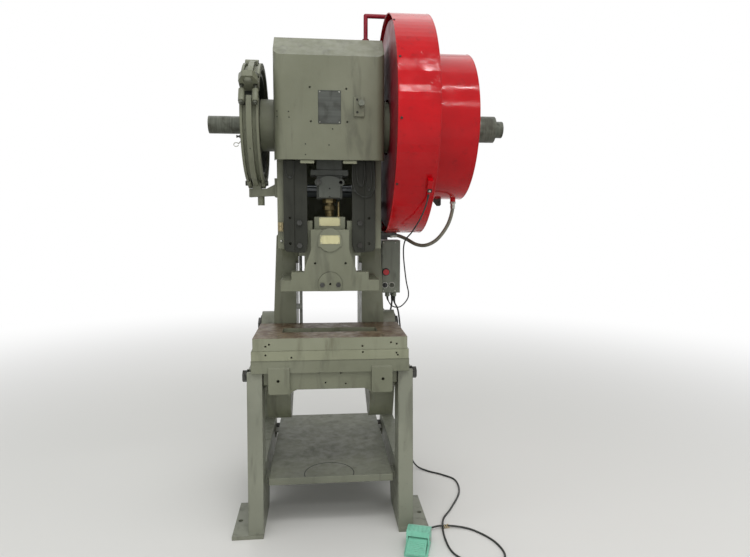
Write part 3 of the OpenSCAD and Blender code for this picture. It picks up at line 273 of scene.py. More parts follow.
def hem(outline, x, radius, sides=8):
    """A round bead along a closed outline of (y, z) points: centre + r (cos t outward + sin t along X)."""
    ahead = np.roll(outline, -1, axis=0) - np.roll(outline, 1, axis=0)
    ahead /= np.linalg.norm(ahead, axis=1)[:, None]
    outward = np.stack([ahead[:, 1], -ahead[:, 0]], -1)
    t = np.linspace(0, FULL_TURN, sides, endpoint=False)
    yz = outline[:, None] + radius * np.cos(t)[None, :, None] * outward[:, None]
    xs = np.broadcast_to((x + radius * np.sin(t))[None, :, None], yz.shape[:2] + (1,))
    return shell(np.concatenate([xs, yz], -1), True)


def piece(name, shells, finish, body="press_frame", sharp=32, blend=None):
    """Joins closed shells into one mesh in metres, turns its faces outwards, and sets it on its body; with a
    blend it stays in place on no body instead.
    Edges over sharp degrees stay hard; the blend's two bodies and the bend's start and end are not used."""
    points, faces, start = [], [], 0
    for verts, polys in shells:
        points.append(verts)
        for block in polys:
            faces += (block + start).tolist()
        start += len(verts)
    mesh = bpy.data.meshes.new(name)
    mesh.from_pydata((np.concatenate(points) * MM).tolist(), [], faces)
    solid = bmesh.new()
    solid.from_mesh(mesh)
    bmesh.ops.recalc_face_normals(solid, faces=solid.faces)
    solid.to_mesh(mesh)
    solid.free()
    mesh.shade_smooth()
    mesh.set_sharp_from_angle(angle=math.radians(sharp))
    mesh.materials.append(FINISHES[finish])
    made = in_scene(name, mesh)
    if blend:
        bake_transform(made)
    else:
        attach(made, body)
    return made


# Materials


def colour(code):
    """sRGB hex to linear: c/12.92 below 0.04045, else ((c + 0.055) / 1.055)^2.4."""
    c = np.array([int(code[i : i + 2], 16) for i in (1, 3, 5)]) / 255
    return (*np.where(c <= 0.04045, c / 12.92, ((c + 0.055) / 1.055) ** 2.4), 1.0)


def per_metre(size_mm):
    """A pattern's scale from the size of one of its features in millimetres."""
    return 1000.0 / size_mm


def add(tree, kind, sockets=(), **settings):
    """Adds one node: settings are the node's own; sockets are values for its inputs, or outputs to link."""
    node = tree.nodes.new(kind)
    for key, value in settings.items():
        setattr(node, key, value)
    for key, value in dict(sockets).items():
        if isinstance(value, bpy.types.NodeSocket):
            tree.links.new(value, node.inputs[key])
        else:
            node.inputs[key].default_value = value
    return node.outputs


def begin(name):
    """A new material with a shader and an output; gives it, its tree, its shader and Object coordinates."""
    material = bpy.data.materials.new(name)
    material.use_nodes = True
    tree = material.node_tree
    tree.nodes.clear()
    shader = tree.nodes.new("ShaderNodeBsdfPrincipled")
    add(tree, "ShaderNodeOutputMaterial", {"Surface": shader.outputs[0]})
    return material, tree, shader, add(tree, "ShaderNodeTexCoord")["Object"]


# Sockets of the mix node for colours
MIX_A, MIX_B, MIX_OUT = 6, 7, 2


def mixed(tree, factor, a, b):
    """Colour b over colour a by the factor; each is an output or a hex code."""
    a, b = (colour(x) if isinstance(x, str) else x for x in (a, b))
    return add(tree, "ShaderNodeMix", {0: factor, MIX_A: a, MIX_B: b}, data_type="RGBA")[MIX_OUT]


def mask(tree, value, low, high, floor=0.0, ceiling=1.0):
    """A value taken smoothly from low..high to floor..ceiling."""
    sockets = {"Value": value, "From Min": low, "From Max": high, "To Min": floor, "To Max": ceiling}
    return add(tree, "ShaderNodeMapRange", sockets, interpolation_type="SMOOTHSTEP")[0]


def cloud(tree, place, size_mm, detail=3.0, distort=0.0, rough=0.55):
    """Soft noise whose blotches are about size_mm across."""
    sockets = {"Vector": place, "Scale": per_metre(size_mm), "Detail": detail}
    sockets.update({"Roughness": rough, "Distortion": distort})
    return add(tree, "ShaderNodeTexNoise", sockets)[0]


def combined(tree, a, b, operation="MULTIPLY"):
    """Two values joined by one operation."""
    return add(tree, "ShaderNodeMath", {0: a, 1: b}, operation=operation)[0]


def bumped(tree, height, under, strength, distance):
    """A normal pressed in by a height, over the normal under it; the distance is its depth in metres."""
    sockets = {"Height": height, "Normal": under, "Strength": strength, "Distance": distance}
    return add(tree, "ShaderNodeBump", sockets)[0]


def near(tree, place, spot_mm, reach_mm):
    """1 at a spot, falling smoothly to 0 at the reach."""
    spot = tuple(k * MM for k in spot_mm)
    away = add(tree, "ShaderNodeVectorMath", {0: place, 1: spot}, operation="DISTANCE")["Value"]
    return mask(tree, away, reach_mm * MM, 0.0)


def worn_edges(tree, width_mm):
    """1 along corners within the width, 0 on flats: how far a rounded normal leans from the face's own."""
    rounded_normal = add(tree, "ShaderNodeBevel", {"Radius": width_mm * MM}, samples=4)[0]
    own = add(tree, "ShaderNodeNewGeometry")["Normal"]
    lean = add(tree, "ShaderNodeVectorMath", {0: rounded_normal, 1: own}, operation="DOT_PRODUCT")["Value"]
    return mask(tree, lean, 0.995, 0.86), rounded_normal


def enamel(
    name, paint, faded, grime, bare,
    rough=0.42, grain_mm=3.0, relief=0.25, chip=0.5, edge_mm=4.0, dirt=0.5, top=None, shine=0.35,
):
    """Brushed enamel on rough cast iron: slow fading over 420 mm, oily grime in hanging patches of 60 mm and
    specks of 9 mm, chipped in 14 mm flakes along its edges.
    With top, faces that look up are bare: two steel colours and the rust over them."""
    material, tree, shader, place = begin(name)
    base = mixed(tree, mask(tree, cloud(tree, place, 420, 4.0), 0.38, 0.66), paint, faded)
    streaks = add(tree, "ShaderNodeMapping", {"Vector": place, "Scale": (1.0, 1.0, 0.22)})[0]
    soil = mask(tree, cloud(tree, streaks, 60, 6.0, 0.6), 0.5, 0.74)
    base = mixed(tree, combined(tree, soil, dirt), base, grime)
    specks = mask(tree, cloud(tree, place, 9, 4.0, 0.3), 0.66, 0.72)
    base = mixed(tree, combined(tree, specks, 0.45 * dirt), base, grime)
    edge, soft_normal = worn_edges(tree, edge_mm)
    flaky = mask(tree, cloud(tree, place, 14, 5.0), 0.44, 0.6)
    base = mixed(tree, combined(tree, combined(tree, edge, flaky), chip), base, bare)
    if top:
        upward = add(tree, "ShaderNodeSeparateXYZ", {0: add(tree, "ShaderNodeTexCoord")["Normal"]})["Z"]
        metal = mixed(tree, mask(tree, cloud(tree, place, 16, 6.0, 0.4), 0.35, 0.65), top[0], top[1])
        metal = mixed(tree, mask(tree, cloud(tree, place, 70, 7.0, 0.9), 0.42, 0.66, 0.0, 0.8), metal, top[2])
        base = mixed(tree, mask(tree, upward, 0.7, 0.95), base, metal)
    tree.links.new(base, shader.inputs["Base Color"])
    shader.inputs["Specular IOR Level"].default_value = shine
    gloss = mask(tree, cloud(tree, place, 35, 4.0), 0.3, 0.7, rough - 0.08, rough + 0.14)
    tree.links.new(gloss, shader.inputs["Roughness"])
    waves = bumped(tree, cloud(tree, place, 40, 2.0), soft_normal, relief, 0.004)
    grain = bumped(tree, cloud(tree, place, grain_mm, 2.0, 0.0, 0.5), waves, relief, 0.0008)
    tree.links.new(grain, shader.inputs["Normal"])
    return material


def steel(name, clean, dull, stain, rough=0.38, metal=0.85, line_mm=0.9, axis="X", stained=0.5):
    """Machined steel: tool lines across one axis, with oil film and brown stain in blotches of 55 mm.
    The real lines are a tenth of a millimetre apart; they are drawn four times line_mm so that they show."""
    material, tree, shader, place = begin(name)
    scale = {"X": (1.0, 0.03, 0.03), "Z": (0.03, 0.03, 1.0)}[axis]
    stretched = add(tree, "ShaderNodeMapping", {"Vector": place, "Scale": scale})[0]
    lines = cloud(tree, stretched, line_mm * 4, 3.0)
    blotch = cloud(tree, place, 55, 6.0, 0.8)
    base = mixed(tree, mask(tree, lines, 0.35, 0.65), clean, dull)
    base = mixed(tree, combined(tree, mask(tree, blotch, 0.45, 0.68), stained), base, stain)
    tree.links.new(base, shader.inputs["Base Color"])
    shader.inputs["Metallic"].default_value = metal
    tree.links.new(mask(tree, blotch, 0.3, 0.7, rough - 0.06, rough + 0.2), shader.inputs["Roughness"])
    tree.links.new(bumped(tree, lines, worn_edges(tree, 1.6)[1], 0.12, 0.0003), shader.inputs["Normal"])
    return material


def gloss_enamel(name, paint, deep, scuff, rough=0.2, wave=0.18, dirt=0.35, edge_mm=2.5, dents=()):
    """Sprayed gloss enamel on rolled sheet: a hard shine, waves of 260 mm in the sheet, oily dust in 30 mm
    clouds, 7 mm scuffs, orange peel of 4 mm, and dents as (place, reach)."""
    material, tree, shader, place = begin(name)
    slow = cloud(tree, place, 260, 3.0)
    base = mixed(tree, mask(tree, slow, 0.35, 0.65), paint, deep)
    dust = mask(tree, cloud(tree, place, 30, 7.0, 0.5), 0.54, 0.76)
    base = mixed(tree, combined(tree, dust, dirt), base, scuff)
    specks = mask(tree, cloud(tree, place, 7, 3.0), 0.68, 0.73)
    base = mixed(tree, combined(tree, specks, dirt), base, scuff)
    edge, soft_normal = worn_edges(tree, edge_mm)
    chips = combined(tree, edge, mask(tree, cloud(tree, place, 10, 4.0), 0.5, 0.62))
    base = mixed(tree, combined(tree, chips, 0.5), base, scuff)
    tree.links.new(base, shader.inputs["Base Color"])
    shader.inputs["Specular IOR Level"].default_value = 0.25
    gloss = mask(tree, cloud(tree, place, 50, 5.0), 0.35, 0.7, rough, rough + 0.12)
    tree.links.new(gloss, shader.inputs["Roughness"])
    height = slow
    for spot, reach in dents:
        crumple = combined(tree, near(tree, place, spot, reach), cloud(tree, place, reach / 2, 2.0))
        height = combined(tree, height, crumple, "SUBTRACT")
    sheet = bumped(tree, height, soft_normal, wave, 0.02)
    tree.links.new(bumped(tree, cloud(tree, place, 4, 2.0), sheet, 0.08, 0.0005), shader.inputs["Normal"])
    return material


def plain(name, base, other, rough=0.5, metal=0.0, grain_mm=2.0, relief=0.1, blotch_mm=25):
    """Moulded plastic, rubber or plated metal: two close colours in blotches and a fine surface grain."""
    material, tree, shader, place = begin(name)
    blotch = cloud(tree, place, blotch_mm, 4.0)
    tree.links.new(mixed(tree, mask(tree, blotch, 0.4, 0.65), base, other), shader.inputs["Base Color"])
    tree.links.new(mask(tree, blotch, 0.3, 0.7, rough - 0.07, rough + 0.1), shader.inputs["Roughness"])
    shader.inputs["Metallic"].default_value = metal
    grain = bumped(tree, cloud(tree, place, grain_mm, 2.0), worn_edges(tree, 1.0)[1], relief, 0.0006)
    tree.links.new(grain, shader.inputs["Normal"])
    return material


RUSTY_TOP = ("#74664f", "#5f5443", "#4a3423")
GUARD_DENTS = (((398, -706, 2096), 62), ((362, -690, 2132), 40), ((420, -735, 2010), 46))
FINISHES = {
    # Brushed enamel on sand-cast iron: dull grey-green, faded and grimy, scuffed to primer at its edges. The
    # legs' copy is a paler grey-green, which is painted light for the lit lower frame
    "leg_paint": enamel(
        "brushed_enamel_on_cast_legs_paler_as_painted_light", "#76786a", "#7f8172", "#45443a", "#443e36", dirt=0.6
    ),
    "press_paint": enamel("brushed_enamel_on_cast_iron", "#686a58", "#727462", "#414137", "#4a463c"),
    # The same over machined faces: finer grain under a film of oil, in a paler grey-green that is painted
    # light for the lit bed
    "bed_paint": enamel(
        "oily_enamel_on_machined_iron_paler_as_painted_light", "#787a65", "#82846e", "#504f3f", "#55503f", grain_mm=2.0
    ),
    # Painted bolster whose bare top is browned by old oil and light rust; its painted sides are the bed's
    # paler grey-green, painted light for the lit front
    "bolster_steel": enamel(
        "paler_enamel_as_painted_light_on_rust_browned_steel", "#777965", "#80826e", "#504c3b", "#584c3c",
        rough=0.45, grain_mm=2.0, relief=0.1, chip=0.7, edge_mm=3.0, dirt=0.6, top=RUSTY_TOP,
    ),
    # Folded sheet, darker where things were slid over it
    "shelf_steel": enamel(
        "scuffed_enamel_on_sheet", "#626457", "#717364", "#37352c", "#544e43",
        rough=0.5, grain_mm=2.0, relief=0.1, chip=0.6, edge_mm=2.0, dirt=0.35,
    ),
    # Blackened parts that stay oily: a low, broad shine
    "dark_steel": steel("oiled_black_steel", "#4a4a47", "#393a37", "#2b2620", 0.42, 0.6),
    # Turned shafts under a grey-green film of overspray and old oil
    "bare_steel": steel(
        "oil_filmed_turned_steel", "#5d6055", "#4a4c43", "#38362c", 0.42, 0.45, 0.9, "X", 0.6
    ),
    # Iron that is handled and oiled: nearly black, with grey wear
    "dark_iron": enamel(
        "oily_dark_cast_iron", "#42453f", "#4e5149", "#26261f", "#5b564b", 0.4, 3.0, 0.3, 0.35
    ),
    # Bearing and screw metals, brown with oil
    "bronze": steel("oily_bronze", "#8f8058", "#6f6345", "#453b28", 0.36, 0.7, 0.9, "Z", 0.6),
    "brass": steel("dull_brass", "#9c906c", "#80755a", "#575040", 0.4, 0.6),
    # Flywheel and bar: an older, deeper red that has gone dull
    "flywheel_red": gloss_enamel(
        "maroon_enamel_on_cast_iron", "#7c1022", "#640c1a", "#340a10", 0.32, 0.1, 0.5
    ),
    # Rolled sheet guards under hard gloss red, which shows every wave and dent
    "guard_red": gloss_enamel(
        "gloss_red_enamel_on_sheet", "#b2000c", "#a0000a", "#44060a", 0.08, 0.16, 0.3, 2.5, GUARD_DENTS
    ),
    # Blue-black enamel on the motor's castings, made darker still as painted shade inside the press's throat
    "motor_paint": enamel("blue_black_motor_enamel_with_painted_shade", "#20272b", "#293135", "#16191a", "#3d3b36", 0.5),
    # Moulded rubber, dusty and matt
    "belt_rubber": plain("ribbed_belt_rubber", "#252624", "#31322f", 0.7),
    # Thin grey enamel on folded boxes, worn along the folds
    "box_paint": enamel(
        "grey_enamel_on_sheet_box", "#6c7065", "#767a6d", "#43443b", "#545146", 0.4, 1.6, 0.1, 0.5, 2.0
    ),
    # Push button, shiny from use
    "red_plastic": plain("red_moulded_plastic", "#bd121a", "#a81017", 0.28),
    # Switch bodies with a satin skin
    "black_plastic": plain("black_moulded_plastic", "#1f201f", "#2a2b2a", 0.42),
    # Plated conduit gone grey
    "conduit_steel": steel("dull_zinc_conduit", "#8b8d86", "#747770", "#57544a", 0.42, 0.7, 0.9, "Z", 0.4),
    # Cord jackets, soft and dusty
    "black_rubber": plain("black_cord_rubber", "#232422", "#30312e", 0.6),
    # Pale teal enamel on the die-cast foot switch, scuffed to grey
    "switch_teal": enamel(
        "teal_enamel_on_die_casting", "#7dbfa6", "#6eb097", "#497566", "#83867f", 0.4, 1.5, 0.08, 0.5, 2.0
    ),
    # Etched blank plate, dark and matt with fine scratches
    "dark_plate": steel("dark_etched_aluminium", "#4b4e49", "#424540", "#33332e", 0.5, 0.3, 2.0, "Z", 0.5),
    # Cream enamelled plates, bare, brown where oil has crept under them
    "cream_plate": enamel(
        "worn_cream_enamel_plate", "#cdc9a0", "#bdb88d", "#6d6a49", "#7b785f", 0.35, 2.0, 0.1, 0.9, 3.0, 0.9
    ),
    # Plated screws and fittings, the brightest metal here
    "zinc": plain("bright_zinc_plate", "#b4b4ab", "#94958d", 0.3, 0.85),
    # Socket screws and holes, nearly black with oil
    "black_screw": plain("oil_blackened_steel", "#262622", "#34332d", 0.5, 0.4),
    # Small tubes painted over with the gibs
    "painted_tube": plain("overpainted_copper_tube", "#1f211c", "#2b2d27", 0.5),
    # Wire in twisted tan paper, quite matt
    "paper_tie": plain("tan_paper_covered_wire", "#d3bd8e", "#bda677", 0.75, 0.0, 4.0, 0.3),
    # Air hose, dusty grey-brown
    "grey_hose": plain("ribbed_grey_hose", "#6a685c", "#777567", 0.5),
    # Gibs that run in oil: black-brown over worn enamel, with hardly any shine; their near-black is partly
    # painted shade under the cover's overhang
    "gib_paint_and_painted_shade": enamel(
        "oil_blackened_enamel_and_painted_shade_on_gibs", "#2e2f2a", "#383933", "#1b1b17", "#4b473b", shine=0.12
    ),
}
# Nodes that look other than their slot's finish
NODE_FINISH = {
    "guard_switch": "guard_red", "latch_knob": "box_paint", "gib_plates": "gib_paint_and_painted_shade",
    "gib_strips": "gib_paint_and_painted_shade", "guard_bar": "flywheel_red",
}

for part in frame["record"]["subparts"]:
    node = part.get("node", part.get("name"))
    dressed = frame["nodes"].get(node)
    if dressed:
        dressed.data.materials.clear()
        dressed.data.materials.append(FINISHES[NODE_FINISH.get(node, part["material_slot"])])


# Cords, each on the line that its solid follows

CORD_STEPS = 8  # points of the flowing line from one point of the route to the next
HOSE = [
    (600, -262, 1558), (598, -261, 1512), (582, -253, 1452), (552, -238, 1398), (520, -215, 1362),
    (480, -185, 1342), (440, -146, 1346), (398, -94, 1371), (358, -70, 1387), (318, -67, 1389),
]
SWITCH_LEAD = [
    (406, -640.3, 1579.2), (404, -612, 1540), (388, -562, 1478), (364, -482, 1416), (345, -400, 1372),
    (354, -300, 1300), (380, -220, 1171), (412, -100, 1089), (418, 0, 1036), (391, 70, 990), (353, 103, 990),
    (329, 111, 1025), (326, 112, 1056),
]
PEDAL_CORD = [
    (364, 115, 1056), (367, 116, 1010), (391, 124, 950), (416, 158, 760), (449, 190, 417), (466, 203, 200),
    (480, 207, 80), (514, 186, 16), (572, 130, 6), (646, 77, 5), (705, 3, 5), (693, -136, 5), (611, -298, 5),
    (545, -408, 5), (520, -560, 5), (540, -700, 5), (650, -780, 5), (749, -731, 5), (740, -610, 5),
    (656, -499, 5), (545, -474, 14.4), (470, -490, 17), (438.5, -526.5, 23), (424.5, -561.9, 24),
]
MOTOR_LEAD = [
    (360, 160, 1056), (359, 166, 1004), (351, 214, 940), (318, 300, 950), (266, 322, 1100), (240, 312, 1300),
    (232, 330, 1480), (205, 396, 1672), (150, 465, 1742), (66, 515, 1742), (-6, 547, 1680), (-15, 551, 1622),
]
# Two bodies, and the start and end of a stretch of the foot switch's cord, in metres; piece uses it only to
# leave the cord in place on no body
CORD_BEND = ("press_frame", "stand", (0.364, 0.115, 1.0), (0.449, 0.19, 0.417))


def run_of(line):
    """The length along a line up to each of its points."""
    return np.concatenate([[0], np.cumsum(np.linalg.norm(np.diff(line, axis=0), axis=1))])


def relief(name, line, start, length, wide, narrow, body="press_frame"):
    """A tapered sleeve round a cord: r falls from wide to narrow, and steps by 0.35 at five ribs."""
    along = run_of(line)
    at = np.linspace(start, start + length, 33)
    centre = np.stack([np.interp(at, along, line[:, k]) for k in range(3)], -1)
    share = (at - start) / length
    swell = 0.35 * np.sign(np.sin(share * 5 * FULL_TURN + 0.3))
    radius = wide + (narrow - wide) * share + swell * (share < 0.95)
    piece(name, [tube(centre, radius, 16)], "black_rubber", body, sharp=50)


def lay_cord(
    name, node, route, diameter, finish="black_rubber", with_pieces=(), blend=None
):
    """A cord as a round tube on its flowing line, in place of its solid."""
    line = flowing(route, CORD_STEPS)
    made = piece(name, [tube(line, diameter / 2, 14)], finish, sharp=60, blend=blend)
    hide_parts(node)
    return line


def cord_tie():
    """A paper-covered wire twisted round the two strands where they cross. A helix of three turns: place =
    crossing + share of 30 along + 7 cos t aside + 7.9 sin t upwards; its two ends spread."""
    along, aside, upwards = leaning((0.96, 0.28, 0), (0, 0, 1))
    crossing = np.array([547.0, -473.0, 9.6])
    t = np.linspace(0, 3 * FULL_TURN, 49)
    loops = crossing + np.outer((t / t[-1] - 0.5) * 30, along)
    loops = loops + np.outer(7.0 * np.cos(t), aside) + np.outer(7.9 * np.sin(t), upwards)
    wires = [loops]
    for side in (-1, 1):
        end = ((8, 6.5, 0), (14, 15, 0), (22, 22, -7))
        route = [crossing + side * a * along + b * aside + c * upwards for a, b, c in end]
        wires.append(flowing(route, 6))
    return piece("cord_tie", [tube(wire, 1.9, 8) for wire in wires], "paper_tie", "stand", sharp=60)


hose = lay_cord("air_hose_line", "air_hose", HOSE, 18, "grey_hose")
lead = lay_cord("guard_switch_lead", "switch_lead", SWITCH_LEAD, 6.4)
power = lay_cord("motor_power_lead", "motor_lead", MOTOR_LEAD, 10)
pedal = lay_cord(
    "foot_switch_cord", "pedal_cord", PEDAL_CORD, 9,
    with_pieces=[cord_tie()], blend=CORD_BEND,
)

# Each relief starts where its cord leaves the wall
BOX_WALL, MOTOR_WALL, SWITCH_WALL, PEDAL_WALL = 12.0, 8.0, 0.2, 12.0
relief("lead_relief_box", lead[::-1], BOX_WALL, 26, 7.0, 4.0)
relief("cord_relief_box", pedal, BOX_WALL, 34, 9.0, 5.3)
relief("motor_relief_box", power, BOX_WALL, 34, 9.5, 5.8)
relief("motor_relief", power[::-1], MOTOR_WALL, 34, 10.0, 5.8)
relief("lead_relief_switch", lead, SWITCH_WALL, 22, 5.6, 3.9)
relief("cord_relief_switch", pedal[::-1], PEDAL_WALL, 34, 8.6, 5.3, "stand")


def ferrule(name, line):
    """A hose end: hexagon nut, then a crimped collar with grooves, on the hose's first straight stretch."""
    centre, ahead = line[0], (line[3] - line[0]) / np.linalg.norm(line[3] - line[0])
    facing = leaning(np.cross(ahead, [0.3, 0.8, 0.5]), ahead)
    crimp = [(11.6, 9), (11.6, 15), (11, 16), (11, 18), (11.6, 19), (11.6, 24), (11, 25), (11, 27)]
    crimp += [(11.6, 28), (11.2, 33), (9.3, 34)]
    nut = stacked([hexagon(14.5), hexagon(14.5)], [0.2, 9], centre, facing)
    piece(name, [nut, turned(crimp, centre, facing)], "zinc")


ferrule("hose_end_guard", hose)
ferrule("hose_end_valve", hose[::-1])


# Crown cover: blank plate with its rivets, empty holes, screws of latch and sides, feet

PLATE_Z, RIM_PROUD = 1962.5, 1.7
COVER_HOLES = [
    (-229, 1941), (-229, 1918), (-179, 1940), (-177, 1916), (-107, 1802), (-107, 1756),
    (-3, 1799), (13, 1869),
]
LATCH_SCREWS, LATCH_THICK = [(121, 1996), (122, 1942)], 8

blank = rimmed_plate(100, 143, 2.6, 2.4, (0, COVER_FRONT, PLATE_Z), "front")
piece("blank_rating_plate", [blank], "dark_plate")
rivets = [
    button_head((x, COVER_FRONT - RIM_PROUD, PLATE_Z + z), "front", radius=3.2, height=1.6)
    for x in (-43, 43) for z in (-65, 65)
]
piece("rating_plate_rivets", rivets, "zinc")
holes = [tapped_hole((x, COVER_FRONT, z), "front", radius=2.9) for x, z in COVER_HOLES]
piece("cover_tapped_holes", holes, "black_screw")
latch_front = COVER_FRONT - LATCH_THICK
latch_screws = [cap_head((x, latch_front, z), "front", radius=4.6, height=2.6) for x, z in LATCH_SCREWS]
piece("latch_plate_screws", latch_screws, "black_screw")
side_screws = [
    button_head((side * COVER_SIDE, y, z), face, radius=6, height=3.2)
    for side, face in ((-1, "left"), (1, "right")) for y in (-20, -350) for z in (1775, 2130)
]
piece("cover_side_screws", side_screws, "box_paint")
tabs = [plate(62, 15, 3, (x, -424, 1726), "front", corner=2, edge=0.8) for x in (-100, 90)]
piece("cover_foot_tabs", tabs, "bed_paint")

# Crown: grease fittings beside the bearing hubs, and the bolts of bar and bracket
NIPPLE = [(4.4, 8), (4.4, 13), (2.6, 14.5), (3.6, 17), (2.2, 19.5)]
for name, x in (("grease_fitting_left", -278), ("grease_fitting_right", 256)):
    (y, z), face = radial(48, BEARING_HUB_R)
    at = (x, y - DIE_Y, z)
    piece(name, [hex_head(at, face, radius=9, height=8.5), turned(NIPPLE, at, face, 18)], "zinc")
foot_bolts = [hex_head((198, y, 2202), "top", radius=7.5, height=6.5) for y in (-262, -230)]
piece("bar_foot_bolts", foot_bolts, "guard_red")
bracket_bolts = [hex_head((250, y, 1440), "right", radius=8, height=6.5) for y in (-266, -226)]
piece("guard_bracket_bolts", bracket_bolts, "black_screw")


# Flywheel guard and clutch guard

HEM_R, HEM_INSET = 2.6, 1.2  # the bead's radius, and how far its middle lies in from the sheet's edge
HALF_SHEET = 1.5
WELD_R = 3.2
RIM_SCREWS = [(274, 2113), (276, 1869), (272, 1618), (268, 2301)]


def belt_outline(radius_front, radius_back, steps=120):
    """The loop round crank and motor as (y, z): an arc on each circle, joined by their outer tangents."""
    front, back = np.array([DIE_Y, CRANK_Z]), np.array([MOTOR_Y, MOTOR_Z])
    gap = back - front
    lean = math.acos((radius_front - radius_back) / np.linalg.norm(gap))
    base = math.atan2(gap[1], gap[0])
    big = np.linspace(base + lean, base - lean + FULL_TURN, steps)
    small = np.linspace(base - lean, base + lean, steps // 3)
    loops = ((front, radius_front, big), (back, radius_back, small))
    return np.concatenate([c + r * np.stack([np.cos(t), np.sin(t)], -1) for c, r, t in loops])


def ring_outline(radius, steps=120):
    """A circle round the crank's axis, as (y, z)."""
    return circle(radius, steps) + [DIE_Y, CRANK_Z]


guard_loop = belt_outline(GUARD_R - HALF_SHEET, GUARD_TAIL_R - HALF_SHEET)
hems = [hem(guard_loop, x, HEM_R) for x in (GUARD_LEFT + HEM_INSET, GUARD_RIGHT - HEM_INSET)]
piece("flywheel_guard_hems", hems, "guard_red", sharp=80)
end_hem = hem(ring_outline(CLUTCH_R - HALF_SHEET), CLUTCH_END - HEM_INSET, HEM_R)
piece("clutch_guard_hem", [end_hem], "guard_red", sharp=80)
weld = hem(ring_outline(CLUTCH_R + HALF_SHEET), GUARD_RIGHT + HALF_SHEET, WELD_R)
piece("clutch_guard_weld", [weld], "guard_red", sharp=80)
rim_screws = []
for x, z in RIM_SCREWS:
    (y, z), face = radial(z - CRANK_Z, GUARD_R)
    rim_screws.append(button_head((x, y, z), face, radius=5.4, height=3))
piece("guard_rim_screws", rim_screws, "black_screw")
flange = around(DIE_Y, CRANK_Z, 362, 12, GUARD_RIGHT, 0.13)
piece("guard_flange_bolts", [hex_head(at, "right", radius=7.5, height=6) for at in flange], "guard_red")
end_ring = around(DIE_Y, CRANK_Z, 300, 8, CLUTCH_END, 0.2)
end_screws = [button_head(at, "right", radius=7, height=3.5) for at in end_ring]
piece("clutch_guard_end_screws", end_screws, "black_screw")

# Black corner plate below the clutch guard, where the hose passes
corner = np.array([[0, 0], [0, -3], [26, -34], [40, -34], [46, -28], [46, 0]], float)
gusset = stacked([corner, corner], [0, 5], (495, -259, 1571), "front")
gusset_screw = button_head((531, -264, 1556), "front", radius=5, height=2.5)
piece("hose_corner_plate", [gusset, gusset_screw], "black_screw")

# The guard's switch leans with the guard: its lid, and the bright hasp on a black seat
SWITCH_LEAN, SWITCH_R = math.radians(35), 525
outward = np.array([0, -math.cos(SWITCH_LEAN), -math.sin(SWITCH_LEAN)])
switch_face = leaning((1, 0, 0), outward)
switch_at = np.array([406, DIE_Y, CRANK_Z]) + SWITCH_R * outward
lid_at = switch_at + switch_face[1] * 9
piece("switch_lid", [plate(20, 36, 1.8, lid_at, switch_face, corner=2, edge=0.6)], "guard_red")
seat_at = switch_at - switch_face[1] * 19
piece("switch_hasp_seat", [plate(19, 17, 1.6, seat_at, switch_face, corner=3, edge=0.6)], "black_screw")
hasp_at = seat_at + switch_face[2] * 1.5
tongue = plate(9, 8, 3.4, hasp_at, switch_face, corner=2, edge=0.8)
piece("switch_hasp", [tongue, turned([(2, 3), (2, 6), (1.4, 6.6)], hasp_at, switch_face, 14)], "zinc")


# Brake: dark screws and holes of the front arm, a side fitting, and its spring clip

(arm_y, arm_z), arm_face = radial(48, ARM_RIM_R)
arm_screws = [cap_head((x, arm_y, arm_z), arm_face, radius=5, height=3.5) for x in (-361, -314)]
piece("brake_arm_screws", arm_screws, "black_screw", "front_brake")
arm_holes = []
for dz, x, arm_r in ((-60, -361, ARM_RIM_R), (-60, -314, ARM_RIM_R), (-135, -340, ARM_RIB_R)):
    (y, z), face = radial(dz, arm_r)
    arm_holes.append(tapped_hole((x, y, z), face, radius=2.8))
piece("brake_arm_holes", arm_holes, "black_screw", "front_brake")
CLIP_Y = -489.0
stud = [(7, 0), (7, 5), (4, 5.4), (4, 14), (6.2, 14.4), (6.2, 18), (3, 18.6)]
piece("brake_side_fitting", [turned(stud, (-379, CLIP_Y, 1822), "left", 20)], "black_screw", "front_brake")
t = np.linspace(0.25, FULL_TURN - 0.25, 25)
clip = np.stack([-399 + 10 * np.cos(t), np.full(25, CLIP_Y), 1788 + 8 * np.sin(t)], -1)
shank = np.array([[-377, CLIP_Y, 1803], [-381, CLIP_Y, 1800], [-386, CLIP_Y, 1795], [-389, CLIP_Y, 1791]])
piece("brake_spring_clip", [tube(clip, 1.9, 10), tube(shank, 2.2, 10)], "zinc", "front_brake", sharp=60)

# Shaft ends: the lathe's centre hole
CENTRE_HOLE = [(9, 0), (9, 0.2), (7.4, 0.25), (5, 0.1), (1.5, 0.05)]
for side, x in (("left", SHAFT_LEFT), ("right", SHAFT_RIGHT)):
    centre = turned(CENTRE_HOLE, (x, DIE_Y, CRANK_Z), side, 28)
    piece("shaft_centre_" + side, [centre], "black_screw", "crank")


# Gibs: bent oil tubes that come down from under the cover, with their banjo unions

TUBE_R, TUBE_Y = 2.7, -375.4
CROSSING_LIFT = -5.2  # how far out the middle tube lies where it crosses another
OIL_TUBES = {
    "oil_tubes_right": [
        [
            (107, 1733), (104, 1662), (116, 1604), (150, 1577),
            (186, 1578), (204, 1612), (206, 1668), (200, 1733),
        ],
        [(126, 1733), (125, 1668), (134, 1630), (148, 1624), (157, 1652), (158, 1733)],
        [(168, 1733), (165, 1660), (172, 1618), (184, 1608), (192, 1640), (189, 1733)],
    ],
    "oil_tubes_left": [[(-200, 1733), (-199, 1690), (-189, 1664), (-172, 1660), (-162, 1682), (-160, 1733)]],
}
UNIONS = [(113, 1604), (204, 1612), (179, 1607), (140, 1627), (-180, 1661)]

